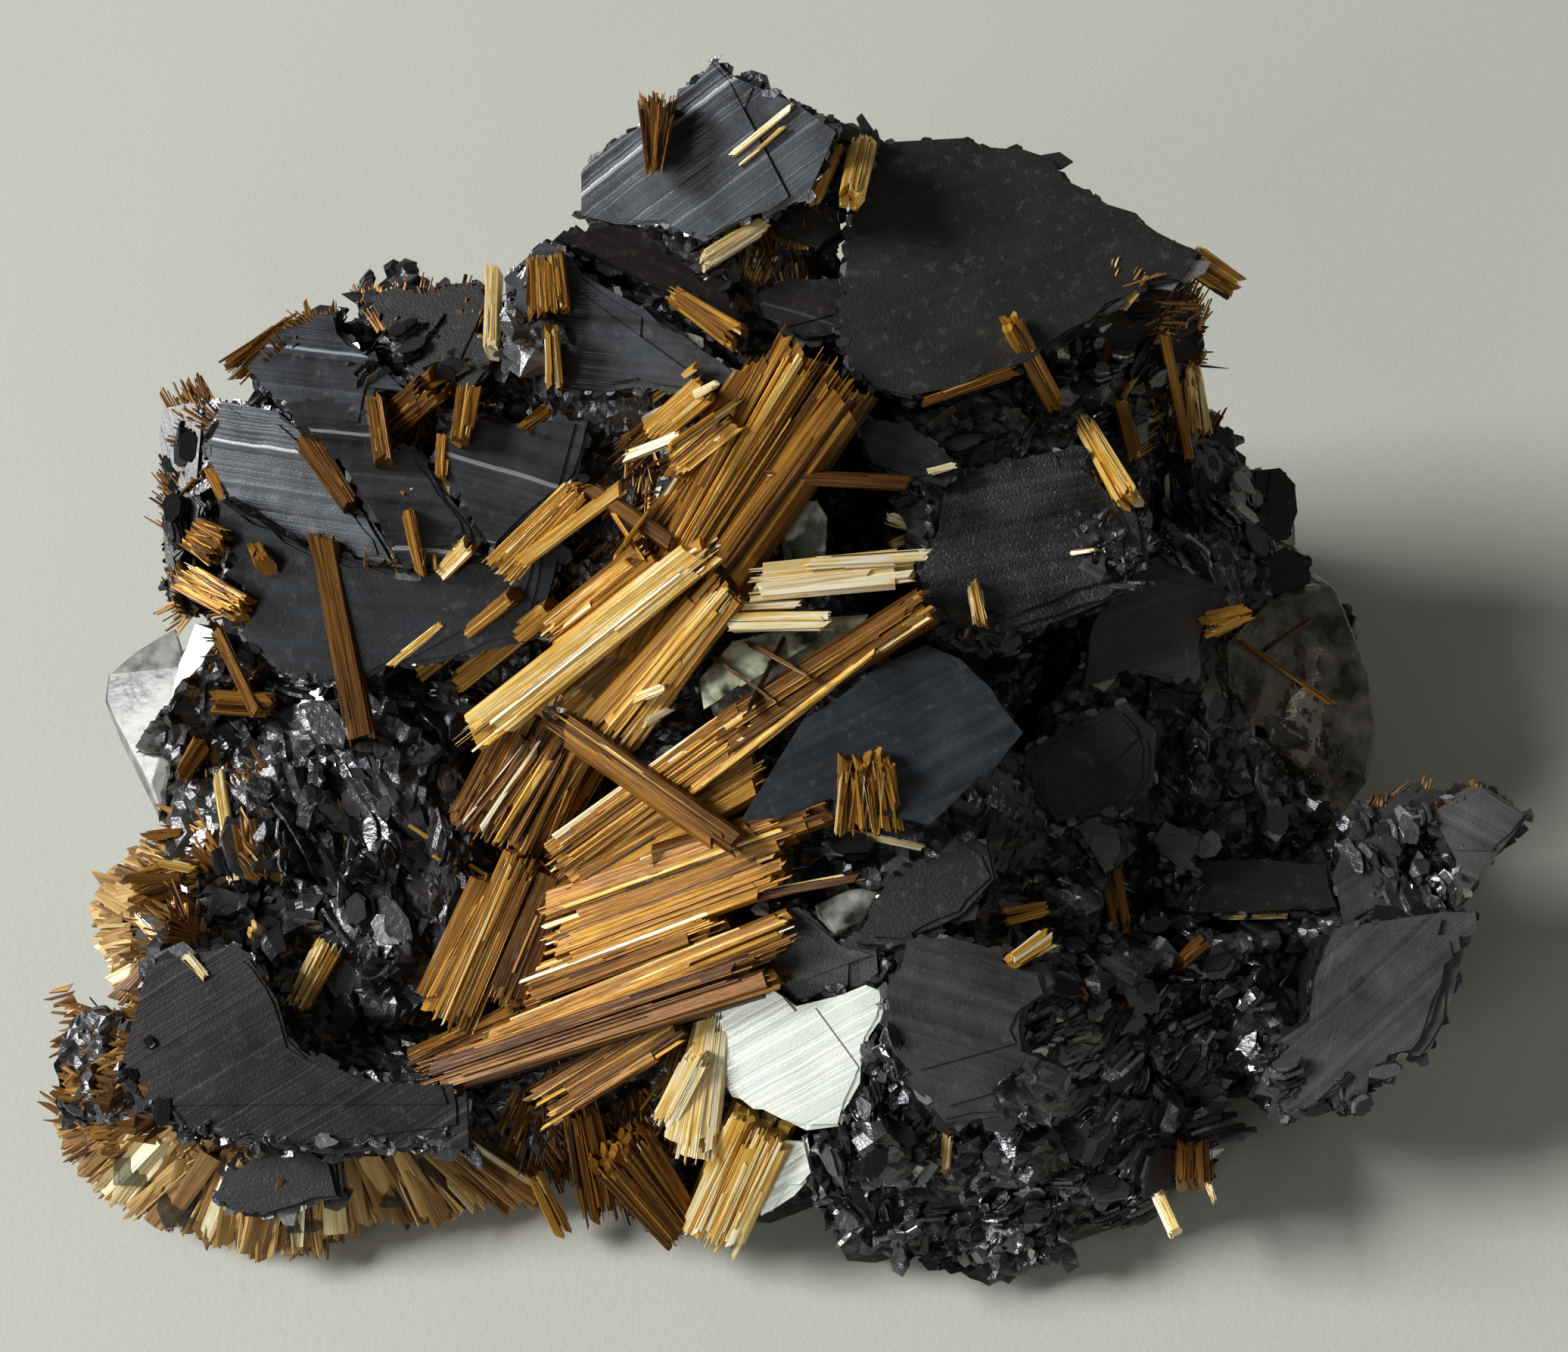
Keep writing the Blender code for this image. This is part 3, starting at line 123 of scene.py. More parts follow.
# Needle section, and the widths of needles and boards in long (False) and in short (True) sheaves.
PROFILE = ((-0.5, 0.0), (-0.32, -0.5), (0.32, -0.5), (0.5, 0.0), (0.32, 0.5), (-0.32, 0.5))
FINE = {False: 0.2, True: 0.13}
BOARD = {False: 1.1, True: 0.5}
# A sheaf under this length is short. One that comes out this many times longer than drawn lies level.
SHORT_SHEAF = 7.0
LONGEST = 1.6
# Share of needles that come out much lighter, and as many much darker.
ODD_SHARE = 0.06
TINY = 1e-9
# Quartz seen through the near fringe: spot on the sheet, height, half length and half width.
QUARTZ_CHIPS = (
    (12.4, 79.4, 3.2, 2.4, 1.5),
    (20.6, 80.4, 3.0, 1.9, 1.2),
    (9.2, 77.4, 4.0, 1.5, 1.1),
    (26.0, 79.2, 3.0, 1.2, 0.8),
)


# Places on the sheet and in the specimen.


def sight(right: float, down: float) -> Vector:
    """Line from the eye through a spot on the sheet.

    Args:
        right: Millimetres to the right on the sheet.
        down: Millimetres down on the sheet.

    Returns:
        The direction, as long as the way to the sheet.
    """
    across = right - SHEET_MIDDLE[0]
    up = SHEET_MIDDLE[1] - down
    return Vector((
        across,
        SHEET_REACH * math.cos(EYE_ELEVATION) + up * math.sin(EYE_ELEVATION),
        up * math.cos(EYE_ELEVATION) - SHEET_REACH * math.sin(EYE_ELEVATION),
    ))


def spot(right: float, down: float, height: float) -> Vector:
    """A spot on the sheet, put at a height above the table, all in millimetres."""
    line = sight(right, down)
    return EYE + line * ((EYE.z - height) / -line.z)


def facing(lean: float, turn: float) -> Vector:
    """Direction that leans from upright toward the viewer, turned to the right.

    Args:
        lean: Degrees from upright.
        turn: Degrees to the right.

    Returns:
        The unit direction.
    """
    tip = math.radians(lean)
    way = math.radians(turn)
    return Vector((math.sin(tip) * math.sin(way), -math.sin(tip) * math.cos(way), math.cos(tip)))


def on_face(right: float, down: float, anchor: Vector, normal: Vector) -> Vector:
    """Where the line through a spot on the sheet meets a flat face, given by its anchor and normal."""
    line = sight(right, down)
    return EYE + line * (normal.dot(anchor - EYE) / normal.dot(line))


def drawn(place: Vector) -> Pair:
    """Where a place is seen on the sheet.

    Args:
        place: The place in millimetres.

    Returns:
        The spot, to the right and down.
    """
    away = place - EYE
    depth = away.y * math.cos(EYE_ELEVATION) - away.z * math.sin(EYE_ELEVATION)
    up = away.y * math.sin(EYE_ELEVATION) + away.z * math.cos(EYE_ELEVATION)
    size = SHEET_REACH / depth
    return SHEET_MIDDLE[0] + away.x * size, SHEET_MIDDLE[1] - up * size


def pairs(*numbers: float) -> list[Pair]:
    """Spots from their numbers in a row, right and down in turn."""
    return list(zip(numbers[::2], numbers[1::2]))


def inside(outline: Sequence[Pair], right: float, down: float) -> bool:
    """Whether a spot lies inside an outline.

    Args:
        outline: Corners of the outline.
        right: First number of the spot.
        down: Second number of the spot.

    Returns:
        True if it does.
    """
    found = False
    for (ax, ay), (bx, by) in zip(outline, list(outline[1:]) + [outline[0]]):
        if (ay > down) != (by > down) and right < (bx - ax) * (down - ay) / (by - ay) + ax:
            found = not found
    return found


# Shader maths.


class Value:
    """One output of a material's nodes, with arithmetic on it."""

    def __init__(self, graph: "Graph", socket: bpy.types.NodeSocket) -> None:
        """Keep the graph and the socket."""
        self.graph = graph
        self.socket = socket

    def _math(self, operation: str, first: Any, second: Any = 0.0) -> "Value":
        """The result of one Math node."""
        return self.graph.value("ShaderNodeMath", {"operation": operation}, {0: first, 1: second})

    def __add__(self, other: Any) -> "Value":
        """Sum."""
        return self._math("ADD", self, other)

    def __radd__(self, other: Any) -> "Value":
        """Sum, the other way round."""
        return self._math("ADD", other, self)

    def __sub__(self, other: Any) -> "Value":
        """Difference."""
        return self._math("SUBTRACT", self, other)

    def __rsub__(self, other: Any) -> "Value":
        """Difference, the other way round."""
        return self._math("SUBTRACT", other, self)

    def __mul__(self, other: Any) -> "Value":
        """Product."""
        return self._math("MULTIPLY", self, other)

    def __rmul__(self, other: Any) -> "Value":
        """Product, the other way round."""
        return self._math("MULTIPLY", other, self)

    def steps(self, size: float) -> "Value":
        """The value rounded down to steps of a size."""
        return self._math("SNAP", self, size)

    def held(self, low: float, high: float) -> "Value":
        """The value stretched so that low becomes nought and high becomes one, and held between them."""
        return self.graph.value(
            "ShaderNodeMapRange",
            {"clamp": True},
            {"Value": self, "From Min": low, "From Max": high, "To Min": 0.0, "To Max": 1.0},
        )


class Graph:
    """The nodes of one material."""

    def __init__(self, name: str) -> None:
        """Start a material with an empty tree.

        Args:
            name: The material's name.
        """
        self.material = bpy.data.materials.new(name)
        self.material.use_nodes = True
        self.tree = self.material.node_tree
        self.tree.nodes.clear()

    def node(self, kind: str, settings: dict[str, Any], inputs: dict[Any, Any]) -> bpy.types.Node:
        """Add one node.

        Args:
            kind: The node's type.
            settings: Its own settings, set first. A ramp's stops are pairs of place and colour.
            inputs: Values or links of its sockets.

        Returns:
            The node.
        """
        made = self.tree.nodes.new(kind)
        for key, setting in settings.items():
            if key == "stops":
                self._ramp(made, setting)
            else:
                setattr(made, key, setting)
        for key, given in inputs.items():
            if isinstance(given, Value):
                self.tree.links.new(given.socket, made.inputs[key])
            else:
                made.inputs[key].default_value = given
        return made

    @staticmethod
    def _ramp(made: bpy.types.Node, stops: Sequence[tuple[float, Colour]]) -> None:
        """Set a ramp's stops.

        Args:
            made: The ramp node.
            stops: Pairs of place and colour.
        """
        elements = made.color_ramp.elements
        while len(elements) < len(stops):
            elements.new(0.5)
        for element, (place, colour) in zip(elements, stops):
            element.position = place
            element.color = (*colour, 1.0)

    def value(self, kind: str, settings: dict[str, Any], inputs: dict[Any, Any], output: Any = 0) -> Value:
        """One output of a node that is added with these settings and inputs."""
        return Value(self, self.node(kind, settings, inputs).outputs[output])

    def carried(self, title: str) -> Value:
        """A number that the mesh carries."""
        return self.value("ShaderNodeAttribute", {"attribute_name": title}, {}, "Fac")

    def place(self) -> Value:
        """The place on the specimen in millimetres."""
        here = self.value("ShaderNodeTexCoord", {}, {}, "Object")
        return self.value("ShaderNodeVectorMath", {"operation": "SCALE"}, {0: here, "Scale": 1 / MM})

    def dot(self, vector: Value, way: Vector) -> Value:
        """How far a vector reaches along a way."""
        inputs = {0: vector, 1: tuple(way)}
        return self.value("ShaderNodeVectorMath", {"operation": "DOT_PRODUCT"}, inputs, "Value")

    def stretched(self, vector: Value, scale: Sequence[float]) -> Value:
        """A vector multiplied part by part."""
        return self.value("ShaderNodeVectorMath", {"operation": "MULTIPLY"}, {0: vector, 1: tuple(scale)})

    def noise(self, vector: Value, scale: float, detail: float = 3.0, rough: float = 0.5) -> Value:
        """Cloudy noise around one half: its scale, how many finer layers, and how strong they are."""
        inputs = {"Vector": vector, "Scale": scale, "Detail": detail, "Roughness": rough}
        return self.value("ShaderNodeTexNoise", {}, inputs)

    def lines(self, across: Value, scale: float, detail: float = 2.0) -> Value:
        """Straight lines of uneven width, around one half: so many to the millimetre of reach across them."""
        inputs = {"W": across, "Scale": scale, "Detail": detail, "Roughness": 0.6}
        return self.value("ShaderNodeTexNoise", {"noise_dimensions": "1D"}, inputs)

    def blend(self, factor: Any, first: Any, second: Any) -> Value:
        """Mix two colours.

        Args:
            factor: Share of the second.
            first: First colour.
            second: Second colour.

        Returns:
            The mixed colour.
        """
        def full(colour: Any) -> Any:
            """A colour with its fourth part."""
            return colour if isinstance(colour, Value) else (*colour, 1.0)

        inputs = {0: factor, 6: full(first), 7: full(second)}
        return self.value("ShaderNodeMix", {"data_type": "RGBA"}, inputs, 2)

    def bump(self, height: Value, depth: float) -> Value:
        """The tilt of a surface whose height is given, one unit of it as deep as this in millimetres."""
        return self.value("ShaderNodeBump", {}, {"Height": height, "Distance": depth * MM}, "Normal")

    def finish(self, inputs: dict[str, Any]) -> bpy.types.Material:
        """Close the material with its shader.

        Args:
            inputs: The shader's sockets.

        Returns:
            The material.
        """
        shader = self.value("ShaderNodeBsdfPrincipled", {}, inputs)
        self.node("ShaderNodeOutputMaterial", {}, {"Surface": shader})
        return self.material


# Finishes.


@dataclass(frozen=True)
class HematiteFinish:
    """Dark metallic face with growth lines, low steps and dust."""

    dark: Colour
    light: Colour
    rough: float
    metal: float
    line_depth: float
    step_depth: float
    grain_depth: float
    dust: float
    glint: float = 0.0

    def material(self, name: str, across: Vector) -> bpy.types.Material:
        """Make the material.

        Args:
            name: The material's name.
            across: The way across the growth lines.

        Returns:
            The material.
        """
        graph = Graph(name)
        here = graph.place()
        reach = graph.dot(here, across)
        cloud = graph.noise(here, 0.35, 2.0, 0.6)
        lines = graph.lines(reach + cloud * 0.25, 1.7, 3.0)
        grain = graph.noise(here, 7.0, 2.0, 0.65)
        steps = (cloud * 9.0 + lines * 1.5).steps(1.0)
        lit = (lines * 0.6 + cloud * 0.8 + grain * 0.15 - 0.35).held(0.18, 0.85)
        colour = graph.blend(lit, self.dark, self.light)
        # Painted highlight: the brightest growth lines are mixed toward a pale silver glint in the base
        # colour.
        bright = lines.held(0.66, 0.74) * self.glint
        colour = graph.blend(bright, colour, (0.42, 0.44, 0.45))
        dusty = (graph.noise(here, 1.5, 2.0, 0.7).held(0.58, 0.74) * self.dust).held(0.0, 1.0)
        colour = graph.blend(dusty, colour, (0.12, 0.11, 0.095))
        rough = (self.rough + (cloud - 0.5) * 0.2 + dusty * 0.3 + (grain - 0.5) * 0.12).held(0.0, 1.0)
        height = lines * self.line_depth + steps * self.step_depth + grain * self.grain_depth
        return graph.finish({
            "Base Color": colour,
            "Metallic": self.metal,
            "Roughness": rough,
            "IOR": 1.5,
            "Normal": graph.bump(height, 1.0),
        })


class Lustre(Enum):
    """How a hematite face looks from a step away, each kind with its finish."""

    SLATE = HematiteFinish(
        (0.014, 0.016, 0.018), (0.095, 0.103, 0.113), 0.34, 0.35, 0.07, 0.03, 0.008, 0.3, 0.8
    )
    MATTE = HematiteFinish((0.006, 0.006, 0.0055), (0.018, 0.018, 0.016), 0.55, 0.0, 0.012, 0.02, 0.035, 0.3)
    PALE = HematiteFinish((0.035, 0.034, 0.033), (0.15, 0.147, 0.142), 0.42, 0.25, 0.05, 0.05, 0.03, 0.4)
    GREY = HematiteFinish((0.028, 0.028, 0.0275), (0.1, 0.098, 0.095), 0.42, 0.25, 0.03, 0.04, 0.03, 0.4)
    BLUE = HematiteFinish((0.007, 0.0083, 0.0097), (0.03, 0.035, 0.041), 0.38, 0.3, 0.015, 0.02, 0.012, 0.3)
    BROWN = HematiteFinish(
        (0.009, 0.0072, 0.007), (0.024, 0.02, 0.019), 0.36, 0.2, 0.04, 0.02, 0.014, 0.2, 0.1
    )
    # Painted reflection: near-white colour on these hematite facets stands in for the window they mirror.
    BRIGHT = HematiteFinish((0.76, 0.8, 0.71), (0.95, 0.97, 0.88), 0.34, 0.4, 0.022, 0.014, 0.006, 0.05)
    SPARKLE = HematiteFinish((0.01, 0.01, 0.011), (0.09, 0.09, 0.095), 0.3, 0.4, 0.03, 0.05, 0.09, 0.35)
    # Plate sides: near-black, partly their dark layered edges and partly painted shade for sides that lie in
    # shadow.
    EDGE = HematiteFinish(
        (0.003, 0.003, 0.0035), (0.026, 0.026, 0.028), 0.36, 0.3, 0.14, 0.02, 0.03, 0.2, 0.3
    )
    STEEL = HematiteFinish((0.014, 0.0165, 0.019), (0.055, 0.064, 0.074), 0.4, 0.3, 0.006, 0.012, 0.012, 0.3)
    MATRIX = HematiteFinish((0.014, 0.0135, 0.0145), (0.19, 0.188, 0.192), 0.27, 0.6, 0.03, 0.02, 0.03, 0.25)


@dataclass(frozen=True)
class FlakeFinish:
    """Small hematite crystals, each a little lighter or darker."""

    def material(self, name: str) -> bpy.types.Material:
        """Make the material.

        Args:
            name: The material's name.

        Returns:
            The material.
        """
        graph = Graph(name)
        here = graph.place()
        shade = graph.carried("shade")
        stops = [(0.0, (0.009, 0.0085, 0.0095)), (0.4, (0.08, 0.08, 0.086)), (0.75, (0.25, 0.25, 0.258)),
                 (1.0, (0.46, 0.455, 0.44))]
        colour = graph.value("ShaderNodeValToRGB", {"stops": stops}, {0: shade}, "Color")
        tint = graph.noise(here, 0.5, 2.0).held(0.55, 0.75) * 0.4
        colour = graph.blend(tint, colour, (0.05, 0.03, 0.018))
        grain = graph.noise(here, 2.4, 2.0, 0.55)
        return graph.finish({
            "Base Color": colour,
            "Metallic": 0.7,
            "Roughness": (0.12 + grain * 0.26).held(0.0, 1.0),
            "IOR": 1.5,
            "Normal": graph.bump(grain, 0.06),
        })


@dataclass(frozen=True)
class RutileFinish:
    """Golden glassy needles, each with its own shade and streaks along it."""

    dull: float = 0.0
    tint: Colour = (1.0, 1.0, 1.0)

    def material(self, name: str) -> bpy.types.Material:
        """Make the material.

        Args:
            name: The material's name.

        Returns:
            The material.
        """
        graph = Graph(name)
        shade = graph.carried("shade")
        along = graph.carried("along")
        across = graph.carried("across")
        inputs = {0: along * 0.2, 1: across * 6.5, 2: shade * 40.0}
        here = graph.value("ShaderNodeCombineXYZ", {}, inputs)
        streaks = graph.noise(here, 1.0, 3.0, 0.65)
        patches = graph.noise(graph.stretched(here, (1.0, 0.06, 1.0)), 1.6, 2.0, 0.6)
        level = (shade + (streaks - 0.5) * 0.55 + (patches - 0.5) * 0.3).held(0.0, 1.0)
        stops = [
            (0.0, (0.012, 0.004, 0.001)),
            (0.2, (0.06, 0.02, 0.003)),
            (0.42, (0.2, 0.082, 0.009)),
            (0.6, (0.38, 0.175, 0.02)),
            (0.76, (0.62, 0.32, 0.038)),
            (0.88, (0.82, 0.57, 0.17)),
            # Top stop near white: partly pale rutile, partly painted highlight for needles that mirror the
            # window.
            (1.0, (0.95, 0.88, 0.64)),
        ]
        stops = [(place, self.dulled(colour)) for place, colour in stops]
        colour = graph.value("ShaderNodeValToRGB", {"stops": stops}, {0: level}, "Color")
        return graph.finish({
            "Base Color": colour,
            "Metallic": 0.4,
            "Roughness": (0.26 + streaks * 0.25).held(0.0, 1.0),
            "IOR": 1.5,
            "Normal": graph.bump(streaks, 0.05),
        })

    def dulled(self, colour: Colour) -> Colour:
        """A colour drawn toward the grey of its own lightness."""
        grey = 0.4 * colour[0] + 0.5 * colour[1] + 0.1 * colour[2]
        return tuple((part + (grey - part) * self.dull) * tint for part, tint in zip(colour, self.tint))


@dataclass(frozen=True)
class QuartzFinish:
    """Cloudy to smoky clear crystal."""

    tint: Colour
    smoke: Colour
    density: float
    rough: float
    haze: float

    def material(self, name: str) -> bpy.types.Material:
        """Make the material.

        Args:
            name: The material's name.

        Returns:
            The material.
        """
        graph = Graph(name)
        here = graph.place()
        cloud = graph.noise(here, 0.5, 3.0, 0.6)
        ripple = graph.noise(here, 1.1, 2.0, 0.5)
        clear = graph.value("ShaderNodeBsdfPrincipled", {}, {
            "Base Color": (*self.tint, 1.0),
            "Roughness": (self.rough + cloud * 0.12).held(0.0, 1.0),
            "IOR": 1.54,
            "Transmission Weight": 1.0,
            "Normal": graph.bump(ripple, 0.07),
        })
        milky = graph.value("ShaderNodeBsdfPrincipled", {}, {
            "Base Color": (*(part * part * 0.8 for part in self.tint), 1.0),
            "Roughness": 0.35,
            "IOR": 1.54,
        })
        factor = (cloud.held(0.42, 0.72) * self.haze).held(0.0, 1.0)
        surface = graph.value("ShaderNodeMixShader", {}, {0: factor, 1: clear, 2: milky})
        inputs = {"Color": (*self.smoke, 1.0), "Density": self.density}
        smoke = graph.value("ShaderNodeVolumeAbsorption", {}, inputs)
        graph.node("ShaderNodeOutputMaterial", {}, {"Surface": surface, "Volume": smoke})
        return graph.material


@dataclass(frozen=True)
class FloorFinish:
    """Plain pale card."""

    colour: Colour = (0.575, 0.58, 0.51)

    def material(self, name: str) -> bpy.types.Material:
        """Make the material.

        Args:
            name: The material's name.

        Returns:
            The material.
        """
        graph = Graph(name)
        here = graph.place()
        cloud = graph.noise(here, 0.03, 2.0)
        grain = graph.noise(here, 2.2, 2.0, 0.7)
        colour = graph.blend(cloud, tuple(part * 0.93 for part in self.colour), self.colour)
        return graph.finish({
            "Base Color": colour,
            "Roughness": 0.75,
            "Normal": graph.bump(grain, 0.02),
        })


# Meshes.


def placed(name: str, data: bpy.types.ID) -> bpy.types.Object:
    """Put an object into the scene.

    Args:
        name: Its name.
        data: Its mesh, light or lens.

    Returns:
        The object.
    """
    made = bpy.data.objects.new(name, data)
    bpy.context.scene.collection.objects.link(made)
    return made


def arms(
    along: Vector, across: Vector, count: int, swing: float, reach: Pair,
    chance: random.Random, spin: float = 0.0,
) -> Iterator[Vector]:
    """The way from the middle of a crystal to each of its uneven corners.

    Args:
        along: Half its length.
        across: Half its width.
        count: How many corners.
        swing: How far a corner may swing to either side, as an angle.
        reach: Shortest and longest reach of a corner, as shares.
        chance: Source of unevenness.
        spin: The angle of the first corner.

    Yields:
        The ways, one after the other.
    """
    for corner in range(count):
        angle = spin + math.tau * corner / count + chance.uniform(-swing, swing)
        share = chance.uniform(*reach)
        yield along * (math.cos(angle) * share) + across * (math.sin(angle) * share)


@dataclass
class MeshMaker:
    """Collects many small closed shapes into one mesh, in millimetres."""

    points: list[Vector] = field(default_factory=list)
    faces: list[tuple[int, ...]] = field(default_factory=list)
    shades: list[float] = field(default_factory=list)
    alongs: list[float] = field(default_factory=list)
    acrosses: list[float] = field(default_factory=list)

    def rings(
        self,
        rings: Sequence[Sequence[Vector]],
        shade: float,
        alongs: Optional[Sequence[float]] = None,
        acrosses: Optional[Sequence[float]] = None,
    ) -> None:
        """Add a closed body from rings of corners, with flat ends.

        Args:
            rings: Rings of the same number of corners, in order.
            shade: How light the body is.
            alongs: The reach along the body at each ring.
            acrosses: The reach across it at each corner.
        """
        start = len(self.points)
        count = len(rings[0])
        for level, ring in enumerate(rings):
            for corner, point in enumerate(ring):
                self.points.append(Vector((point.x, point.y, max(point.z, LOWEST))))
                self.shades.append(shade)
                self.alongs.append(alongs[level] if alongs else 0.0)
                self.acrosses.append(acrosses[corner] if acrosses else 0.0)
        for level in range(len(rings) - 1):
            low = start + level * count
            high = low + count
            for corner in range(count):
                after = (corner + 1) % count
                self.faces.append((low + corner, low + after, high + after, high + corner))
        last = start + (len(rings) - 1) * count
        self.faces.append(tuple(reversed(range(start, start + count))))
        self.faces.append(tuple(range(last, last + count)))

    def needle(
        self, start: Vector, end: Vector, out: Vector, size: Pair, tips: Pair,
        shade: float, chance: random.Random,
    ) -> None:
        """Add one flat six-sided needle.

        Args:
            start: Where it starts.
            end: Where it ends.
            out: The way its broad side looks.
            size: Its width and thickness.
            tips: Share of its width left at each end.
            shade: How light it is.
            chance: Source of unevenness.
        """
        wide, thick = size
        run = (end - start).normalized()
        across = run.cross(out).normalized()
        raised = across.cross(run)
        rings = []
        for centre, tip in zip((start, end), tips):
            slant = chance.uniform(-1.0, 1.0) * min(1.3, 0.8 / wide)
            rings.append([
                centre + across * (x * wide * tip) + raised * (y * thick) + run * (x * wide * slant)
                for x, y in PROFILE
            ])
        offset = chance.uniform(0, 50)
        alongs = [offset, offset + (end - start).length]
        self.rings(rings, min(max(shade, 0.0), 1.0), alongs, [x * wide + offset for x, _ in PROFILE])

    def flake(
        self, centre: Vector, along: Vector, across: Vector, size: tuple[float, float, float], shade: float,
        chance: random.Random,
    ) -> None:
        """Add one thin many-sided flake.

        Args:
            centre: Its middle.
            along: The way its long side lies.
            across: The way its short side lies.
            size: Half its length, half its width and its thickness.
            shade: How light it is.
            chance: Source of unevenness.
        """
        heading = along.cross(across).normalized()
        count = chance.choice((5, 6, 7))
        half = heading * size[2] * 0.5
        ways = list(arms(along * size[0], across * size[1], count, 0.35, (0.65, 1.1), chance))
        low = [centre + way * FOOT_SPREAD - half for way in ways]
        self.rings([low, [centre + way + half for way in ways]], shade)

    def build(self, name: str, material: bpy.types.Material) -> bpy.types.Object:
        """Make the object, riding on the specimen.

        Args:
            name: The piece's name.
            material: Its finish.

        Returns:
            The object.
        """
        mesh = bpy.data.meshes.new(name)
        mesh.from_pydata([tuple(point * MM) for point in self.points], [], self.faces)
        for title, numbers in (("shade", self.shades), ("along", self.alongs), ("across", self.acrosses)):
            layer = mesh.attributes.new(title, "FLOAT", "POINT")
            layer.data.foreach_set("value", numbers)
        mesh.materials.append(material)
        mesh.validate()
        made = placed(name, mesh)
        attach(made, "root")
        return made


# Hematite.


@dataclass
class Plate:
    """One drawn flat face of the hematite."""

    name: str
    outline: list[Pair]
    anchor: Spot
    lean: float
    turn: float
    thick: float
    lustre: Lustre
    grain: Pair = (1.0, 0.1)
    layers: int = 3

    def __post_init__(self) -> None:
        """Work out where the face lies."""
        self.normal = facing(self.lean, self.turn)
        self.place = spot(*self.anchor)
        self.corners = [on_face(right, down, self.place, self.normal) for right, down in self.outline]
        self.middle = sum(self.corners, Vector()) / len(self.corners)
        start = on_face(self.anchor[0], self.anchor[1], self.place, self.normal)
        end = on_face(self.anchor[0] + self.grain[0], self.anchor[1] + self.grain[1], self.place, self.normal)
        self.along = (end - start).normalized()
        self.across = self.along.cross(self.normal).normalized()
        self.flat = [((corner - self.middle).dot(self.along), (corner - self.middle).dot(self.across))
                     for corner in self.corners]

    def local(self, point: Vector) -> tuple[float, float, float]:
        """A place as seen from the face: along it, across it and out of it."""
        away = point - self.middle
        return away.dot(self.along), away.dot(self.across), away.dot(self.normal)

    def front_material(self) -> bpy.types.Material:
        """Finish of the face itself."""
        return self.lustre.value.material("hematite_" + self.name, self.across)

    def side_material(self) -> bpy.types.Material:
        """Finish of the plate's sides, with layers like the pages of a book."""
        # The side finish is darker than the face: partly painted shade.
        return Lustre.EDGE.value.material("hematite_side_" + self.name, self.normal)


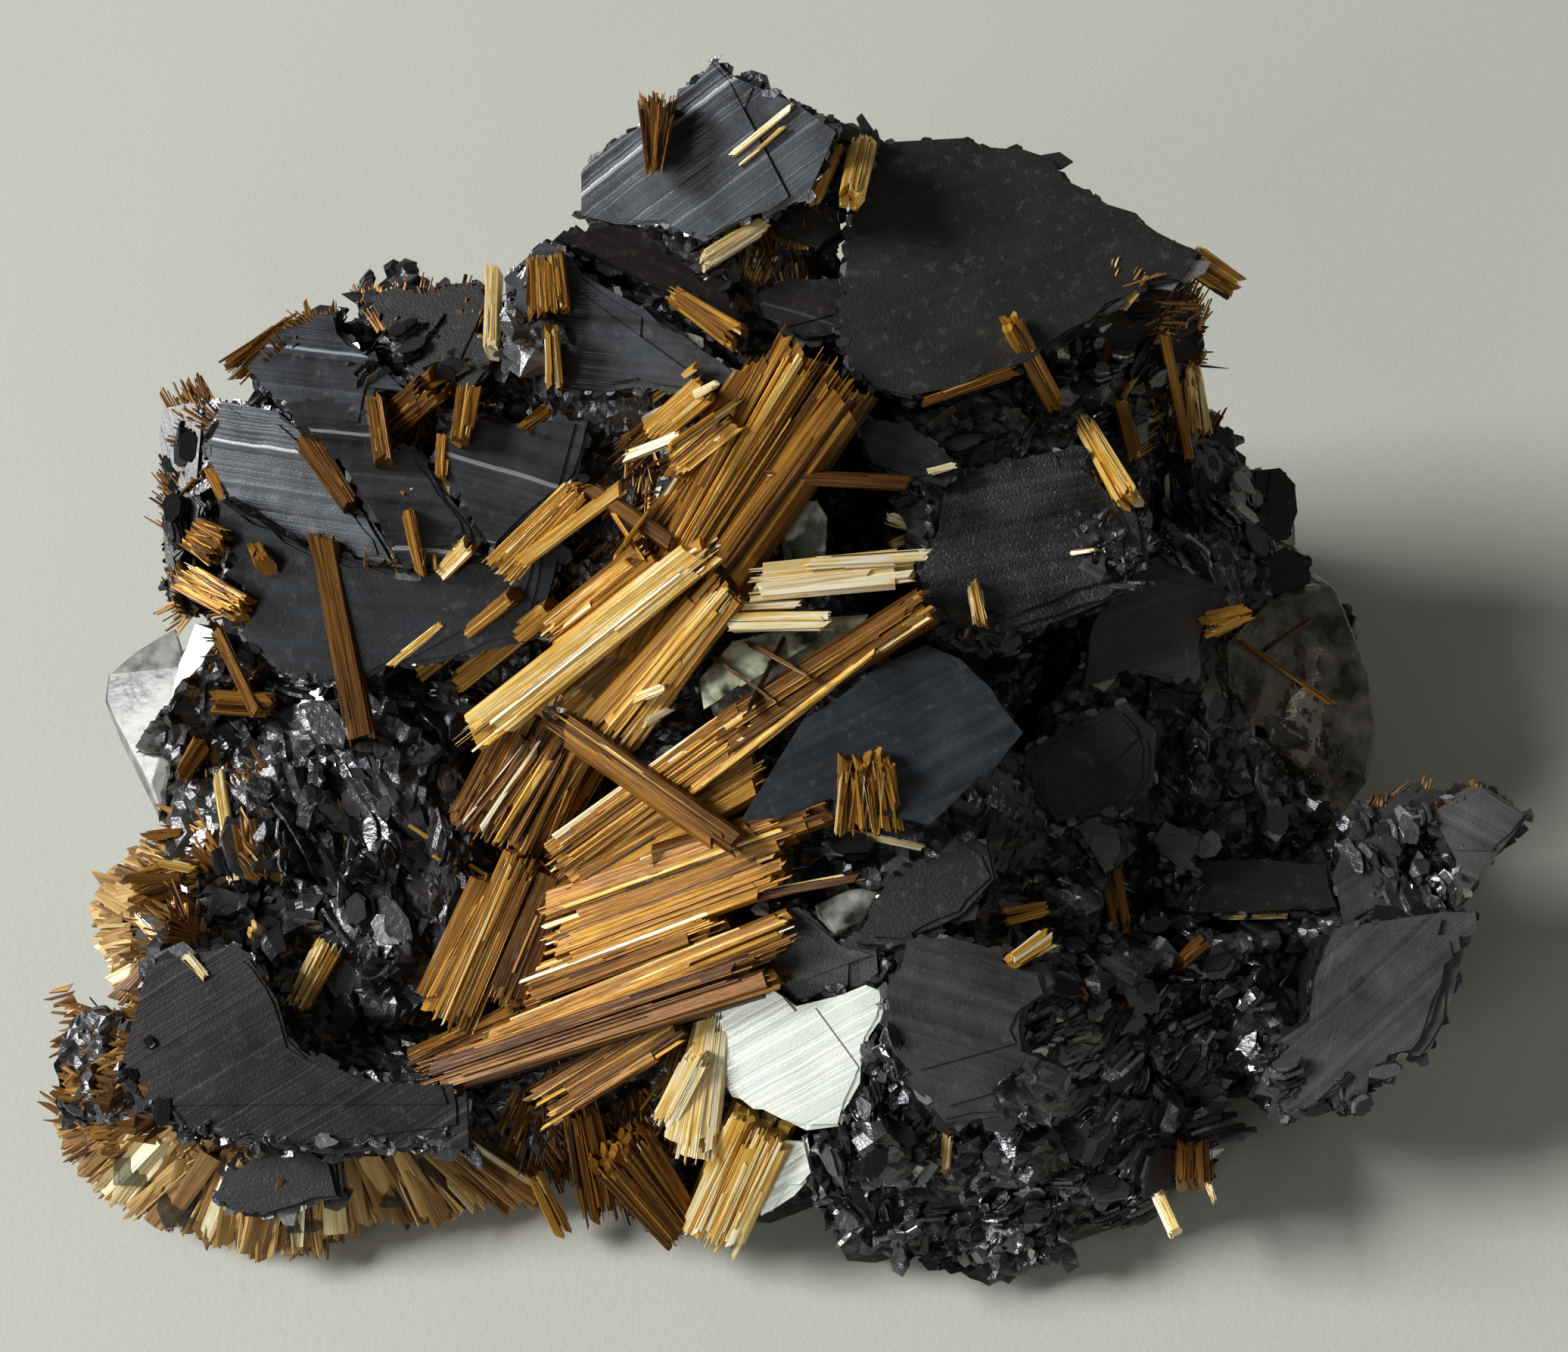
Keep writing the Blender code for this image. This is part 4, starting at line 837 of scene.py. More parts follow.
S = Lustre.SLATE
PLATES: list[Plate] = [Plate(*row) for row in (
    ("top_blade", pairs(47.2, 3.9, 48.3, 5, 52.7, 6.9, 55.2, 8.6, 54.8, 10.2, 53.4, 12.9, 51, 14.2,
     48.2, 15.4, 46.5, 16, 44, 14.9, 40.5, 14.9, 38.4, 14.2, 38.4, 11.4, 40.5, 9.4, 41.7, 8.6, 44.2, 7.6,
     44.9, 5.8, 46.2, 5.2), (47, 10, 37.5), 48, -22, 2.4, S, (1, -0.75), 2),
    ("blade_behind", pairs(48.6, 5.3, 57.9, 9, 57.5, 12, 54, 13, 47, 9),
     (53, 9, 36.6), 42, 10, 1.8, Lustre.MATTE, (1, 0.4), 0),
    ("ridge", pairs(36.8, 15.8, 38.5, 15.2, 41, 14.6, 46.4, 15.8, 48, 19, 49.2, 23.4, 46.5, 21.6, 43.5, 19,
     39.5, 16.9), (42, 16.5, 33.5), 16, 15, 5, Lustre.BROWN, (1, 0.5), 0),
    ("middle_blade", pairs(36, 15.9, 37.5, 16.7, 38.5, 18.1, 41.5, 19.8, 44, 21.5, 46.5, 23, 48.8, 24.9,
     46, 26.2, 42.5, 25.5, 40.2, 25.9, 36.8, 25.8, 36, 24.6, 33.1, 24.2, 33.3, 20.3, 33.4, 18.3),
     (41, 22, 31.6), 40, -15, 4, S, (1, 0.12), 3),
    ("left_terrace", pairs(16.2, 24.2, 17, 23.6, 19, 21.6, 20.8, 20.9, 22.2, 20.6, 22.2, 22, 24.5, 23.6,
     27.5, 26, 24.6, 25.9, 24.2, 28.3, 20, 27.9, 18.5, 26.5), (20, 25, 28), 22, -12, 6, S, (1, 0.12), 2),
    ("crown_ridge", pairs(24.4, 19.6, 26, 19, 28, 19.4, 29.4, 18.8, 31.9, 18.6, 33.4, 20.3, 33, 24, 31, 26,
     27.5, 25.4, 26, 22.5), (29, 22, 29), 18, -20, 4, Lustre.MATTE, (1, 0.3), 2),
    ("left_band", pairs(18.8, 26.6, 24.2, 26.2, 24.8, 28.4, 25.5, 30, 27.5, 29.8, 28.2, 30.8, 31.6, 35.4,
     31.9, 36.8, 27, 38, 24.8, 34, 22, 29.7, 20, 28), (26, 32, 25.4), 30, 12, 5, S, (1, 0.1), 3),
    ("cracked_terrace", pairs(30, 28.5, 31.5, 27.6, 33.4, 28, 36.5, 27.8, 38.9, 27.8, 38.4, 29.8, 38.2, 31.5,
     35, 34.2, 32.6, 36.3, 31.4, 34.6, 29.6, 31.8, 28.4, 30.2), (34, 31, 26.4), 28, 8, 5, S, (1, 0.3), 2),
    ("left_shoulder", pairs(14.6, 26.5, 18.3, 27.2, 21.6, 30, 24.4, 34.2, 26.6, 38, 20.5, 37.4, 16, 34.4,
     13.6, 30), (20, 32, 23.6), 38, -22, 8, S, (1, 0.15), 3),
    ("smooth_slope", pairs(14.5, 33, 20.5, 36.4, 27, 37.6, 32, 36.8, 37, 36.5, 36, 42, 28, 44, 26, 43.8,
     24, 45, 21, 45.2, 18, 44, 15, 41), (25, 40, 20.6), 46, -6, 12, Lustre.BLUE, (1, 0.08), 3),
    ("big_dark_plate", pairs(57.9, 9.5, 59.9, 9.2, 63.9, 9.1, 65, 9.7, 67.5, 9.9, 69.4, 10.6, 70.2, 11.9,
     72, 12.7, 73.2, 13.7, 75, 14.3, 77.5, 16.1, 79.5, 16.8, 78, 18.5, 75.5, 18.8, 73, 20.3, 69.5, 22.8,
     67.5, 24, 63.5, 25.5, 60.2, 26.4, 58, 25.8, 56.2, 24, 55.3, 21.5, 56, 17, 56.2, 13.5),
     (66, 17, 33), 20, 6, 5, Lustre.MATTE, (1, -0.4), 1),
    ("dark_side", pairs(70, 22, 74, 19.6, 78.6, 18.6, 79.6, 23, 77, 27, 71.5, 26),
     (75, 22, 27), 50, 38, 6, Lustre.BROWN, (1, -0.4), 3),
    ("bridge", pairs(50, 19.4, 52, 18.5, 56.5, 18.4, 57, 22, 53, 22.4, 50.5, 21),
     (53, 20.5, 31.5), 25, -5, 4, Lustre.BROWN, (1, 0.3), 2),
    ("dark_cap", pairs(50.8, 14.4, 52, 13.5, 54.8, 14, 55.6, 15.2, 54, 16.4, 51.5, 15.6),
     (53, 14.6, 34), 22, 0, 3, Lustre.MATTE, (1, 0.2), 1),
    ("blue_facet", pairs(56.4, 27.6, 58, 27.8, 60, 28.2, 61.8, 29.5, 63.5, 31, 62.5, 32.2, 60, 31.4,
     57.6, 30.6), (60, 30, 28.6), 32, -4, 5, Lustre.BLUE, (1, 0.35), 1),
    ("sparkling_plate", pairs(62.5, 31.2, 64.5, 31, 66.5, 30.4, 69.5, 29.8, 71.5, 29.5, 73.5, 31.2, 75, 33,
     75.6, 34.5, 76, 36, 75.5, 38.5, 73, 39.8, 70, 41, 66, 42.5, 62.5, 42, 61.8, 40, 61, 37.5, 62, 35),
     (68, 36, 25.4), 24, 8, 6, Lustre.SPARKLE, (1, -0.2), 4),
    ("near_plate", pairs(53.2, 47.5, 56, 45.6, 59.5, 43.2, 61.5, 42.5, 63.5, 43.5, 66.5, 46.5, 67.8, 48.4,
     66, 50.5, 63.5, 53, 61.3, 54.6, 58, 54, 55, 53, 51.5, 54, 49, 54.6, 46.8, 52.5, 48.4, 50.5),
     (58, 50, 24), 14, 8, 3.2, Lustre.STEEL, (1, -0.5), 1),
    ("grey_plate", pairs(76, 37, 77.5, 36.3, 79.5, 36.3, 80.6, 37.8, 81, 39.2, 80, 40.6, 79.5, 42, 79, 43.5,
     78.3, 44.8, 76.5, 44.8, 75, 44.3, 73.5, 44.5, 71.5, 45.5, 71.8, 43.5, 72.3, 41, 74, 39),
     (76, 41, 20), 32, 20, 4.5, Lustre.GREY, (1, -0.3), 1),
    ("stepped_plate", pairs(67.6, 50, 69, 49, 71.5, 47.6, 74.5, 46.4, 76.2, 48.2, 76.4, 51.8, 74.5, 53.4,
     71.5, 54, 69.5, 55, 67.8, 53), (72, 50, 18.6), 24, 12, 4, Lustre.MATTE, (1, -0.3), 4),
    ("sparkling_slope", pairs(76, 45.2, 80, 45.6, 83, 48.4, 86, 51.6, 88, 55, 88, 59, 79.5, 57, 77, 54,
     75.5, 50), (82, 52, 12.6), 36, 40, 6, Lustre.SPARKLE, (1, 0.4), 4),
    ("black_slab", pairs(77.5, 57.2, 82, 56.8, 87.6, 57.4, 88.2, 60, 79, 60.4, 76, 58.5),
     (82, 58.6, 12), 10, 12, 3, Lustre.MATTE, (1, 0.1), 1),
    ("pale_facet", pairs(76.2, 55.6, 77, 54.3, 79, 55.2, 79.9, 55.8, 78.6, 56.7, 79.4, 57.7, 77.8, 57.3),
     (78, 56, 14.6), 28, 12, 3, Lustre.GREY, (1, 0.2), 1),
    ("grey_facet", pairs(71.2, 54.6, 72, 54.1, 74, 54.8, 73.9, 56, 73.2, 57.8, 72.2, 56.5),
     (72.7, 56, 16.6), 26, 0, 3, Lustre.GREY, (1, 0.2), 1),
    ("black_plate", pairs(57, 61.5, 58.6, 58.2, 59.5, 57.3, 61.5, 57, 64, 55.3, 65.5, 56, 65.8, 58,
     64.3, 59.5, 63.5, 60.5, 60.5, 61.8, 59.3, 62.5, 56.3, 62.3),
     (61, 59, 19.6), 20, -8, 4, Lustre.MATTE, (1, -0.3), 2),
    ("grey_step", pairs(50.3, 60.1, 52.5, 59.6, 53.8, 60.6, 55.5, 62.2, 57.9, 62.9, 58, 64.3, 57, 65,
     55, 65.7, 52.5, 66.2, 51.5, 65.2, 50.8, 64), (55, 63, 15.4), 40, -18, 4, Lustre.GREY, (1, 0.2), 2),
    ("front_plate", pairs(60, 62, 63, 62, 66, 62.8, 69.5, 63.5, 69.8, 65, 68, 66.5, 67.5, 68, 68, 70.2,
     69, 71.5, 68, 72.8, 66, 73.8, 62.5, 74.2, 61, 72.5, 59, 71, 58.2, 69.5, 59, 67.5, 58.5, 65.5,
     59.6, 63.8), (64, 68, 17), 28, 8, 4, Lustre.GREY, (1, 0.3), 3),
    # Painted reflection: the bright facets and the bright chunk carry the near-white BRIGHT finish for the
    # window they mirror.
    ("bright_facet", pairs(46.4, 69.4, 46.8, 67.4, 48, 66.2, 50.3, 64.6, 52.6, 66.5, 55.5, 65.8, 57.2, 65.1,
     58.5, 65.6, 58.3, 67.2, 57.4, 68.5, 57, 71.5, 56, 73.2, 55.6, 74.4, 53.5, 74.7, 51.8, 74.2, 50, 73.3,
     48.4, 72.5), (53, 70, 12.2), 44, -20, 5, Lustre.BRIGHT, (1, -0.55), 2),
    ("bright_chunk", pairs(51, 75, 53.4, 75.2, 53.8, 77.5, 52.5, 79, 50.2, 80.5, 49.8, 78),
     (52, 77, 8), 46, -22, 4, Lustre.BRIGHT, (1, -0.6), 2),
    ("low_bright_facet", pairs(41.6, 79.6, 43, 79.8, 44.7, 81.4, 44.4, 82.2, 42.5, 81.6),
     (43, 80.8, 3), 36, -20, 2.6, Lustre.BRIGHT, (1, 0.6), 0),
    ("near_rosette", pairs(9.7, 63.8, 11.5, 63.2, 15.5, 62.5, 16.5, 63, 18.2, 66, 19, 68.8, 20.5, 69.8,
     24.5, 71.5, 30.5, 71.8, 31, 73.5, 31, 76, 27, 75.8, 22, 76.3, 19, 76, 14.5, 75.4, 11.5, 74.6, 8.5, 73,
     7.8, 71), (19, 71.5, 10), 22, -8, 2.4, Lustre.BROWN, (1, -0.6), 2),
    ("low_disc", pairs(14.2, 79.2, 15, 77.2, 18, 75.6, 20, 75.4, 22.5, 76.6, 22.7, 79, 20, 79.7, 17.5, 80.3,
     15.2, 80), (18.5, 78.4, 6), 26, -5, 1.6, Lustre.MATTE, (1, -0.3), 3),
    ("small_plate", pairs(12.5, 59.9, 14.4, 59.2, 16.2, 59.4, 16.6, 60.8, 13.5, 62.6),
     (14.5, 61, 9.6), 25, -20, 3, Lustre.BLUE, (1, -0.3), 1),
    ("blue_chip", pairs(9, 62, 9.3, 60.3, 10.4, 60.8, 11.5, 61.2, 12.2, 62.6, 11.6, 63.4, 10.2, 63.5),
     (10.5, 62, 8.8), 34, -26, 3, Lustre.BLUE, (1, 0.3), 1),
    # Painted reflection: this plate's near-white BRIGHT finish stands in for the window it mirrors.
    ("white_plate", pairs(12.9, 41.2, 14, 41.6, 15.4, 44.6, 14.8, 46.3, 13, 48.1, 11.2, 49.6, 10.8, 48.2,
     11.3, 46.8, 11.5, 45, 12, 43.8), (13, 45.5, 12.5), 42, -32, 2.6, Lustre.BRIGHT, (1, -1.6), 1),
    ("far_rosette", pairs(86.9, 64.5, 88, 61.5, 90, 61, 92.5, 60.8, 95.5, 60.2, 97.5, 60.3, 97.6, 61.4,
     96.8, 62.3, 96.1, 65.5, 95.6, 67.2, 94.8, 69, 94, 69.8, 92, 70.2, 91.6, 71.2, 90.3, 71.8, 90.2, 73.7,
     88.9, 73.5, 88.7, 72.2, 87.5, 72.8, 85.6, 74.1, 84.5, 73.9, 84, 72.5, 83, 72.3, 83.7, 70, 84.5, 68.7,
     86.5, 67.5), (91, 66, 12.6), 26, 4, 5, Lustre.PALE, (1, -0.9), 4),
    ("corner_plate", pairs(97, 52, 98.3, 52.1, 99.5, 52.9, 101, 53.9, 100.2, 55, 99, 56.2, 97.5, 58.5,
     96.2, 60, 96.3, 57, 95, 54.5, 93.8, 54, 95, 53), (98, 55.5, 14), 34, -10, 3.4, Lustre.PALE, (1, 0.5), 2),
    ("corner_rim", pairs(89.4, 54.4, 90.5, 53.2, 93.5, 52, 95.8, 52.3, 94, 54.2, 92.4, 56.6, 92, 60.4,
     89, 61.4, 88, 58), (92, 56, 12.6), 20, -6, 4, Lustre.GREY, (1, -0.6), 3),
    ("right_lump", pairs(83, 31.2, 84.4, 31, 85.4, 32.1, 85.6, 34, 85, 35.5, 83.5, 36.3, 82.3, 34.5,
     82.9, 33), (84, 33.5, 15.4), 34, 30, 4, Lustre.MATTE, (1, 0.3), 2),
    ("right_blade", pairs(80.2, 28, 81.5, 28.5, 81.8, 31, 82, 34, 81, 34.5, 79, 33, 78.2, 30),
     (80.5, 31, 20), 45, 32, 3, Lustre.MATTE, (0.2, 1), 2),
    ("black_crystals", pairs(80.8, 36.5, 83, 37, 85, 36.3, 86.3, 37, 86.8, 38.6, 84.5, 39.5, 81, 39.5),
     (84, 38, 14), 30, 20, 5, Lustre.MATTE, (1, 0.1), 2),
    ("left_crystal", pairs(10.6, 28.6, 10.8, 26.9, 13.2, 26.4, 14.2, 27, 14.6, 29.5, 13.6, 32, 12.2, 32.4,
     11.1, 31.9), (12.3, 29.5, 20), 36, -40, 5, Lustre.BROWN, (0.3, 1), 2),
    ("lower_left_crystal", pairs(10.8, 32.5, 12.2, 31.8, 13.6, 33.4, 12.8, 35.6, 11.7, 37, 12.6, 40.6,
     11.2, 39.6, 10.8, 36), (11.8, 35, 17.4), 40, -38, 5, Lustre.BROWN, (0.3, 1), 2),
    ("corner_cluster", pairs(3.6, 73.4, 3.4, 70.3, 4, 68.6, 4.8, 67.2, 6, 67, 8, 68.2, 11, 70.2, 12, 74,
     8, 76, 4.6, 75.4), (7, 71, 6.4), 30, -24, 3.6, Lustre.BROWN, (1, 0.6), 3),
    ("low_block", pairs(55.2, 80.8, 58, 79.8, 60.2, 79.8, 60.6, 82.3, 58, 83.4, 56, 83.2),
     (58, 81.5, 3.4), 44, -4, 4, Lustre.MATTE, (1, 0.2), 2),
    ("low_step", pairs(61, 80, 64, 80.3, 64.4, 82.5, 62, 83.6, 60.8, 82),
     (62.5, 81.8, 3.6), 40, 10, 4, Lustre.MATTE, (1, 0.2), 2),
    ("layered_slope", pairs(69.5, 71, 75, 67, 80, 63, 84, 62, 84.5, 66, 83, 70, 80.5, 74, 80, 78, 76, 79,
     70, 80), (77, 72, 8), 34, 18, 5, Lustre.SPARKLE, (1, -0.7), 5),
    ("front_slope", pairs(54.5, 75.5, 58, 72.5, 63, 74.5, 69, 72.5, 71, 83.4, 66, 85, 62, 83.8, 56, 82.6,
     53.7, 80), (62, 79, 6), 52, 4, 6, Lustre.SPARKLE, (1, 0.1), 4),
)]


@dataclass(frozen=True)
class Seat:
    """Where a crystal grows: place, the way the rock faces, the way it runs, size and how light it is."""

    place: Vector
    normal: Vector
    run: Vector
    size: float
    light: float

    def turned(self, swing: float, tilt: float) -> tuple[Vector, Vector, Vector]:
        """Turn the crystal on the rock and tilt it out of it.

        Args:
            swing: How far it swings to the side, as a share.
            tilt: How far it leans over, as an angle.

        Returns:
            The ways of its length and of its width, and the way it faces.
        """
        along = (self.run + self.normal.cross(self.run) * swing).normalized()
        over = self.normal.cross(along)
        heading = (self.normal * math.cos(tilt) + over * math.sin(tilt)).normalized()
        return along, heading.cross(along).normalized(), heading


@dataclass(frozen=True)
class Zone:
    """A patch of rubble on the sheet: its place, how many groups, their size, and how many of each kind."""

    name: str
    middle: Pair
    half: Pair
    heaps: int
    size: float
    light: float = 0.4
    leaves: float = 0.0
    books: float = 0.3
    run: Pair = (1.0, -0.5)


@dataclass
class Rock:
    """The hematite cluster: its facets with their finishes, low growth layers and heaps of small flakes."""

    node: str = "hematite_cluster"
    bevel: float = 0.09
    face_slack: float = 0.12
    edge_slack: float = 0.5
    layer_rise: float = 0.1
    fronts: dict[str, bpy.types.Material] = field(default_factory=dict)
    chance: random.Random = field(default_factory=lambda: random.Random(SEED))

    def __post_init__(self) -> None:
        """Read the solid."""
        self.solid: bpy.types.Object = frame["nodes"][self.node]
        mesh = self.solid.data
        matrix = self.solid.matrix_world
        self.points = [(matrix @ vert.co) / MM for vert in mesh.vertices]
        self.polygons = [tuple(face.vertices) for face in mesh.polygons]
        self.tree = BVHTree.FromPolygons(self.points, self.polygons)

    def hit(self, right: float, down: float) -> tuple[Optional[Vector], Optional[Vector]]:
        """Where the line through a spot meets the rock, and the way the rock faces there, or None twice."""
        place, normal, _, _ = self.tree.ray_cast(EYE, sight(right, down).normalized())
        return place, normal

    def owner(self, middle: Vector, normal: Vector) -> int:
        """Which material slot a face of the rock takes.

        Args:
            middle: The face's middle.
            normal: The way it looks.

        Returns:
            The slot: nought for the matrix, else one slot per plate front and one per plate side.
        """
        best = 0
        nearest = self.edge_slack
        for number, plate in enumerate(PLATES):
            along, across, out = plate.local(middle)
            if abs(out) < self.face_slack and normal.dot(plate.normal) > SAME_WAY:
                if inside(plate.flat, along, across):
                    return 1 + number
            if -plate.thick < out < 0.1 and abs(normal.dot(plate.normal)) < SIDE_WAY:
                for (ax, ay), (bx, by) in zip(plate.flat, plate.flat[1:] + plate.flat[:1]):
                    wide, high = bx - ax, by - ay
                    reach = (along - ax) * wide + (across - ay) * high
                    share = min(max(reach / max(wide * wide + high * high, TINY), 0.0), 1.0)
                    gap = math.hypot(along - ax - share * wide, across - ay - share * high)
                    if gap < nearest:
                        nearest = gap
                        best = 1 + len(PLATES) + number
        return best

    def facets(self) -> bpy.types.Object:
        """The rock itself.

        Returns:
            The object that stands for the solid.
        """
        mesh = bpy.data.meshes.new("hematite_rock")
        mesh.from_pydata([tuple(point * MM) for point in self.points], [], self.polygons)
        mesh.materials.append(Lustre.MATRIX.value.material("hematite_matrix", Vector((0.2, 0.3, 0.93))))
        for plate in PLATES:
            self.fronts[plate.name] = plate.front_material()
            mesh.materials.append(self.fronts[plate.name])
        for plate in PLATES:
            mesh.materials.append(plate.side_material())
        for face in mesh.polygons:
            slot_number = self.owner(Vector(face.center) / MM, Vector(face.normal))
            if slot_number and PLATES[(slot_number - 1) % len(PLATES)].name in ROUGH_PLATES:
                slot_number = 0
            face.material_index = slot_number
        made = placed("hematite_rock", mesh)
        shape = bmesh.new()
        shape.from_mesh(mesh)
        bmesh.ops.remove_doubles(shape, verts=shape.verts, dist=0.005 * MM)
        sharp = [edge for edge in shape.edges if len(edge.link_faces) == 2
                 and all(face.material_index for face in edge.link_faces)
                 and edge.calc_face_angle(0.0) > math.radians(SHARP_ROCK)]
        bmesh.ops.bevel(
            shape, geom=sharp, offset=self.bevel * MM, segments=2, profile=0.5, affect="EDGES",
            clamp_overlap=True, material=-1,
        )
        self.crumple(shape)
        shape.to_mesh(mesh)
        shape.free()
        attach(made, "root")
        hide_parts(self.node)
        LOG.info("rock: %d faces", len(mesh.polygons))
        return made

    def crumple(self, shape: bmesh.types.BMesh) -> None:
        """Break the rough ground between the plates into small tilted crystal faces.

        Args:
            shape: The rock's mesh, in metres.
        """
        for _ in range(GROUND_ROUNDS):
            rough = [face for face in shape.faces if face.material_index == 0]
            bmesh.ops.triangulate(shape, faces=[face for face in rough if len(face.verts) > 3])
            shape.normal_update()
            shape.edges.index_update()
            long = {edge for face in shape.faces if face.material_index == 0 for edge in face.edges
                    if edge.calc_length() > self.step(face) * MM}
            if not long:
                break
            bmesh.ops.subdivide_edges(shape, edges=sorted(long, key=lambda edge: edge.index), cuts=1)
        bmesh.ops.triangulate(shape, faces=[face for face in shape.faces if face.material_index == 0])
        shape.normal_update()
        inner = [vert for vert in shape.verts
                 if vert.link_faces and all(face.material_index == 0 for face in vert.link_faces)]
        flat = [(1 + number, plate) for number, plate in enumerate(PLATES) if plate.name in FLATTENED]
        moves = []
        held = {}
        for vert in inner:
            place = vert.co / MM
            full = min(max((place.z - CALM_BELOW) / CALM_RISE, 0.0), 1.0)
            move = vert.normal * (self.roughness(place) * full)
            for slot_number, plate in flat:
                along, across, out = plate.local(place)
                if PRESSED[0] < out < PRESSED[1] and inside(plate.flat, along, across):
                    move = plate.normal * -out
                    held[vert] = slot_number
            moves.append(move)
        for vert, move in zip(inner, moves):
            vert.co += move * MM
            vert.co.z = max(vert.co.z, LOWEST * MM)
        for face in shape.faces:
            if face.material_index == 0:
                found = [held[vert] for vert in face.verts if vert in held]
                if found and len(found) == len(face.verts):
                    face.material_index = found[0]

    @staticmethod
    def step(face: bmesh.types.BMFace) -> float:
        """Longest edge that a face of the rough ground may keep, in millimetres."""
        toward = EYE - face.calc_center_median() / MM
        return GROUND_STEP if face.normal.dot(toward) > 0 else FAR_STEP

    def roughness(self, place: Vector) -> float:
        """How far the rough ground stands out at a place, as tilted faces of packed crystals.

        Args:
            place: The place in millimetres.

        Returns:
            The rise in millimetres.
        """
        right, down = drawn(place)
        warped = place + noise.noise_vector(place * 0.5) * 0.7
        for middle, half, way, squeeze in FLOWS:
            if abs(right - middle[0]) < half[0] and abs(down - middle[1]) < half[1]:
                warped = warped - way * (warped.dot(way) * squeeze)
        rise = 0.0
        for number, (fine, deep) in enumerate(GROUND_CELLS):
            spread = warped * fine + Vector((7.3, 1.9, 4.4)) * number
            _, points = noise.voronoi(spread)
            tilt = noise.noise_vector(points[0] * 3.1)
            rise += deep * (noise.noise(points[0] * 5.7) + 1.5 * (spread - points[0]).dot(tilt))
        return min(max(rise, GROUND_LIMITS[0]), GROUND_LIMITS[1])

    def layer(self, plate: Plate, level: int) -> list[Vector]:
        """Corners of one growth layer on a plate.

        Args:
            plate: The plate it grew on.
            level: Which layer, counted from the face.

        Returns:
            Its corners, on the plate's face.
        """
        shrink = 1.0 - 0.07 * level - self.chance.uniform(0.0, 0.08)
        turn = self.chance.choice((0, 60, 120, 180, 240, 300)) + self.chance.uniform(-6, 6)
        way = Vector((math.cos(math.radians(turn)), math.sin(math.radians(turn))))
        reach = max(Vector(corner).dot(way) for corner in plate.flat)
        limit = reach * self.chance.uniform(0.15, 0.8)
        outline = [Vector(corner) * shrink for corner in plate.flat]
        rough = []
        for start, end in zip(outline, outline[1:] + outline[:1]):
            count = max(1, int((end - start).length / 0.9))
            for number in range(count):
                share = number / count
                jitter = Vector((self.chance.uniform(-0.16, 0.16), self.chance.uniform(-0.16, 0.16)))
                rough.append(start.lerp(end, share) + jitter)
        kept: list[Vector] = []
        for start, end in zip(rough, rough[1:] + rough[:1]):
            over_start = start.dot(way) - limit
            over_end = end.dot(way) - limit
            if over_start <= 0:
                kept.append(start)
            if (over_start > 0) != (over_end > 0):
                kept.append(start.lerp(end, over_start / (over_start - over_end)))
        return [plate.middle + plate.along * corner.x + plate.across * corner.y for corner in kept]

    def growth(self) -> None:
        """Thin layers with stepped edges on the plates."""
        for plate in PLATES:
            if plate.name in ROUGH_PLATES:
                continue
            maker = MeshMaker()
            for level in range(plate.layers):
                corners = self.layer(plate, level)
                if len(corners) < 3:
                    continue
                low = [corner - plate.normal * 0.05 for corner in corners]
                high = [corner + plate.normal * self.layer_rise * (level + 1) for corner in corners]
                maker.rings([low, high], 0.5)
            if maker.faces:
                made = maker.build("growth_layers_" + plate.name, self.fronts[plate.name])

    def clean(self, place: Vector) -> bool:
        """Whether a place is seen on or close to a plate that nothing grows on.

        Args:
            place: The place in millimetres.

        Returns:
            True if it is.
        """
        right, down = drawn(place)
        for plate in PLATES:
            if plate.name in CLEAN:
                count = len(plate.outline)
                mid = (sum(x for x, _ in plate.outline) / count, sum(y for _, y in plate.outline) / count)
                grow = CLEAN[plate.name]
                if inside(plate.outline, mid[0] + (right - mid[0]) / grow, mid[1] + (down - mid[1]) / grow):
                    return True
        return False

    def snapped(self, place: Vector) -> Vector:
        """A place drawn back to the rock where it's off it."""
        nearest, _, _, gap = self.tree.find_nearest(place)
        return nearest if gap > 0.15 else place

    def rims(self) -> None:
        """Ragged flakes along the rims of the plates."""
        maker = MeshMaker()
        for plate in PLATES:
            if plate.name in SMOOTH_RIMS or plate.name in ROUGH_PLATES:
                continue
            for start, end in zip(plate.corners, plate.corners[1:] + plate.corners[:1]):
                side = (end - start).normalized()
                for number in range(int((end - start).length / RIM_STEP) + 1):
                    share = (number + self.chance.random()) * RIM_STEP / max((end - start).length, RIM_STEP)
                    sink = self.chance.uniform(0.0, 0.35) * min(plate.thick, 3.0)
                    place = start.lerp(end, min(share, 1.0)) - plate.normal * sink
                    place = self.snapped(place)
                    tilt = (plate.normal + self.scatter(0.13)).normalized()
                    along = (side + plate.normal.cross(side) * self.chance.gauss(0, 0.4)).normalized()
                    across = tilt.cross(along).normalized()
                    along = across.cross(tilt).normalized()
                    long = self.chance.lognormvariate(-1.0, 0.45)
                    size = (long, long * self.chance.uniform(0.35, 0.9), self.chance.uniform(0.07, 0.2))
                    maker.flake(place, along, across, size, self.tone(RIM_LIGHT), self.chance)
        made = maker.build("rim_flakes", FlakeFinish().material("hematite_rims"))

    def rubble(self) -> None:
        """Heaps of small crystals between the plates."""
        finish = FlakeFinish().material("hematite_rubble")
        for zone in RUBBLE:
            maker = MeshMaker()
            for _ in range(zone.heaps):
                right = zone.middle[0] + zone.half[0] * self.chance.uniform(-1, 1)
                down = zone.middle[1] + zone.half[1] * self.chance.uniform(-1, 1)
                place, normal = self.hit(right, down)
                if place is None or normal is None or self.clean(place):
                    continue
                ahead, _ = self.hit(right + zone.run[0] * AHEAD, down + zone.run[1] * AHEAD)
                run = (ahead - place) if ahead is not None else normal.orthogonal()
                run = (run - normal * run.dot(normal)).normalized()
                self.crystals(maker, place, normal, run, zone)
            made = maker.build("rubble_" + zone.name, finish)

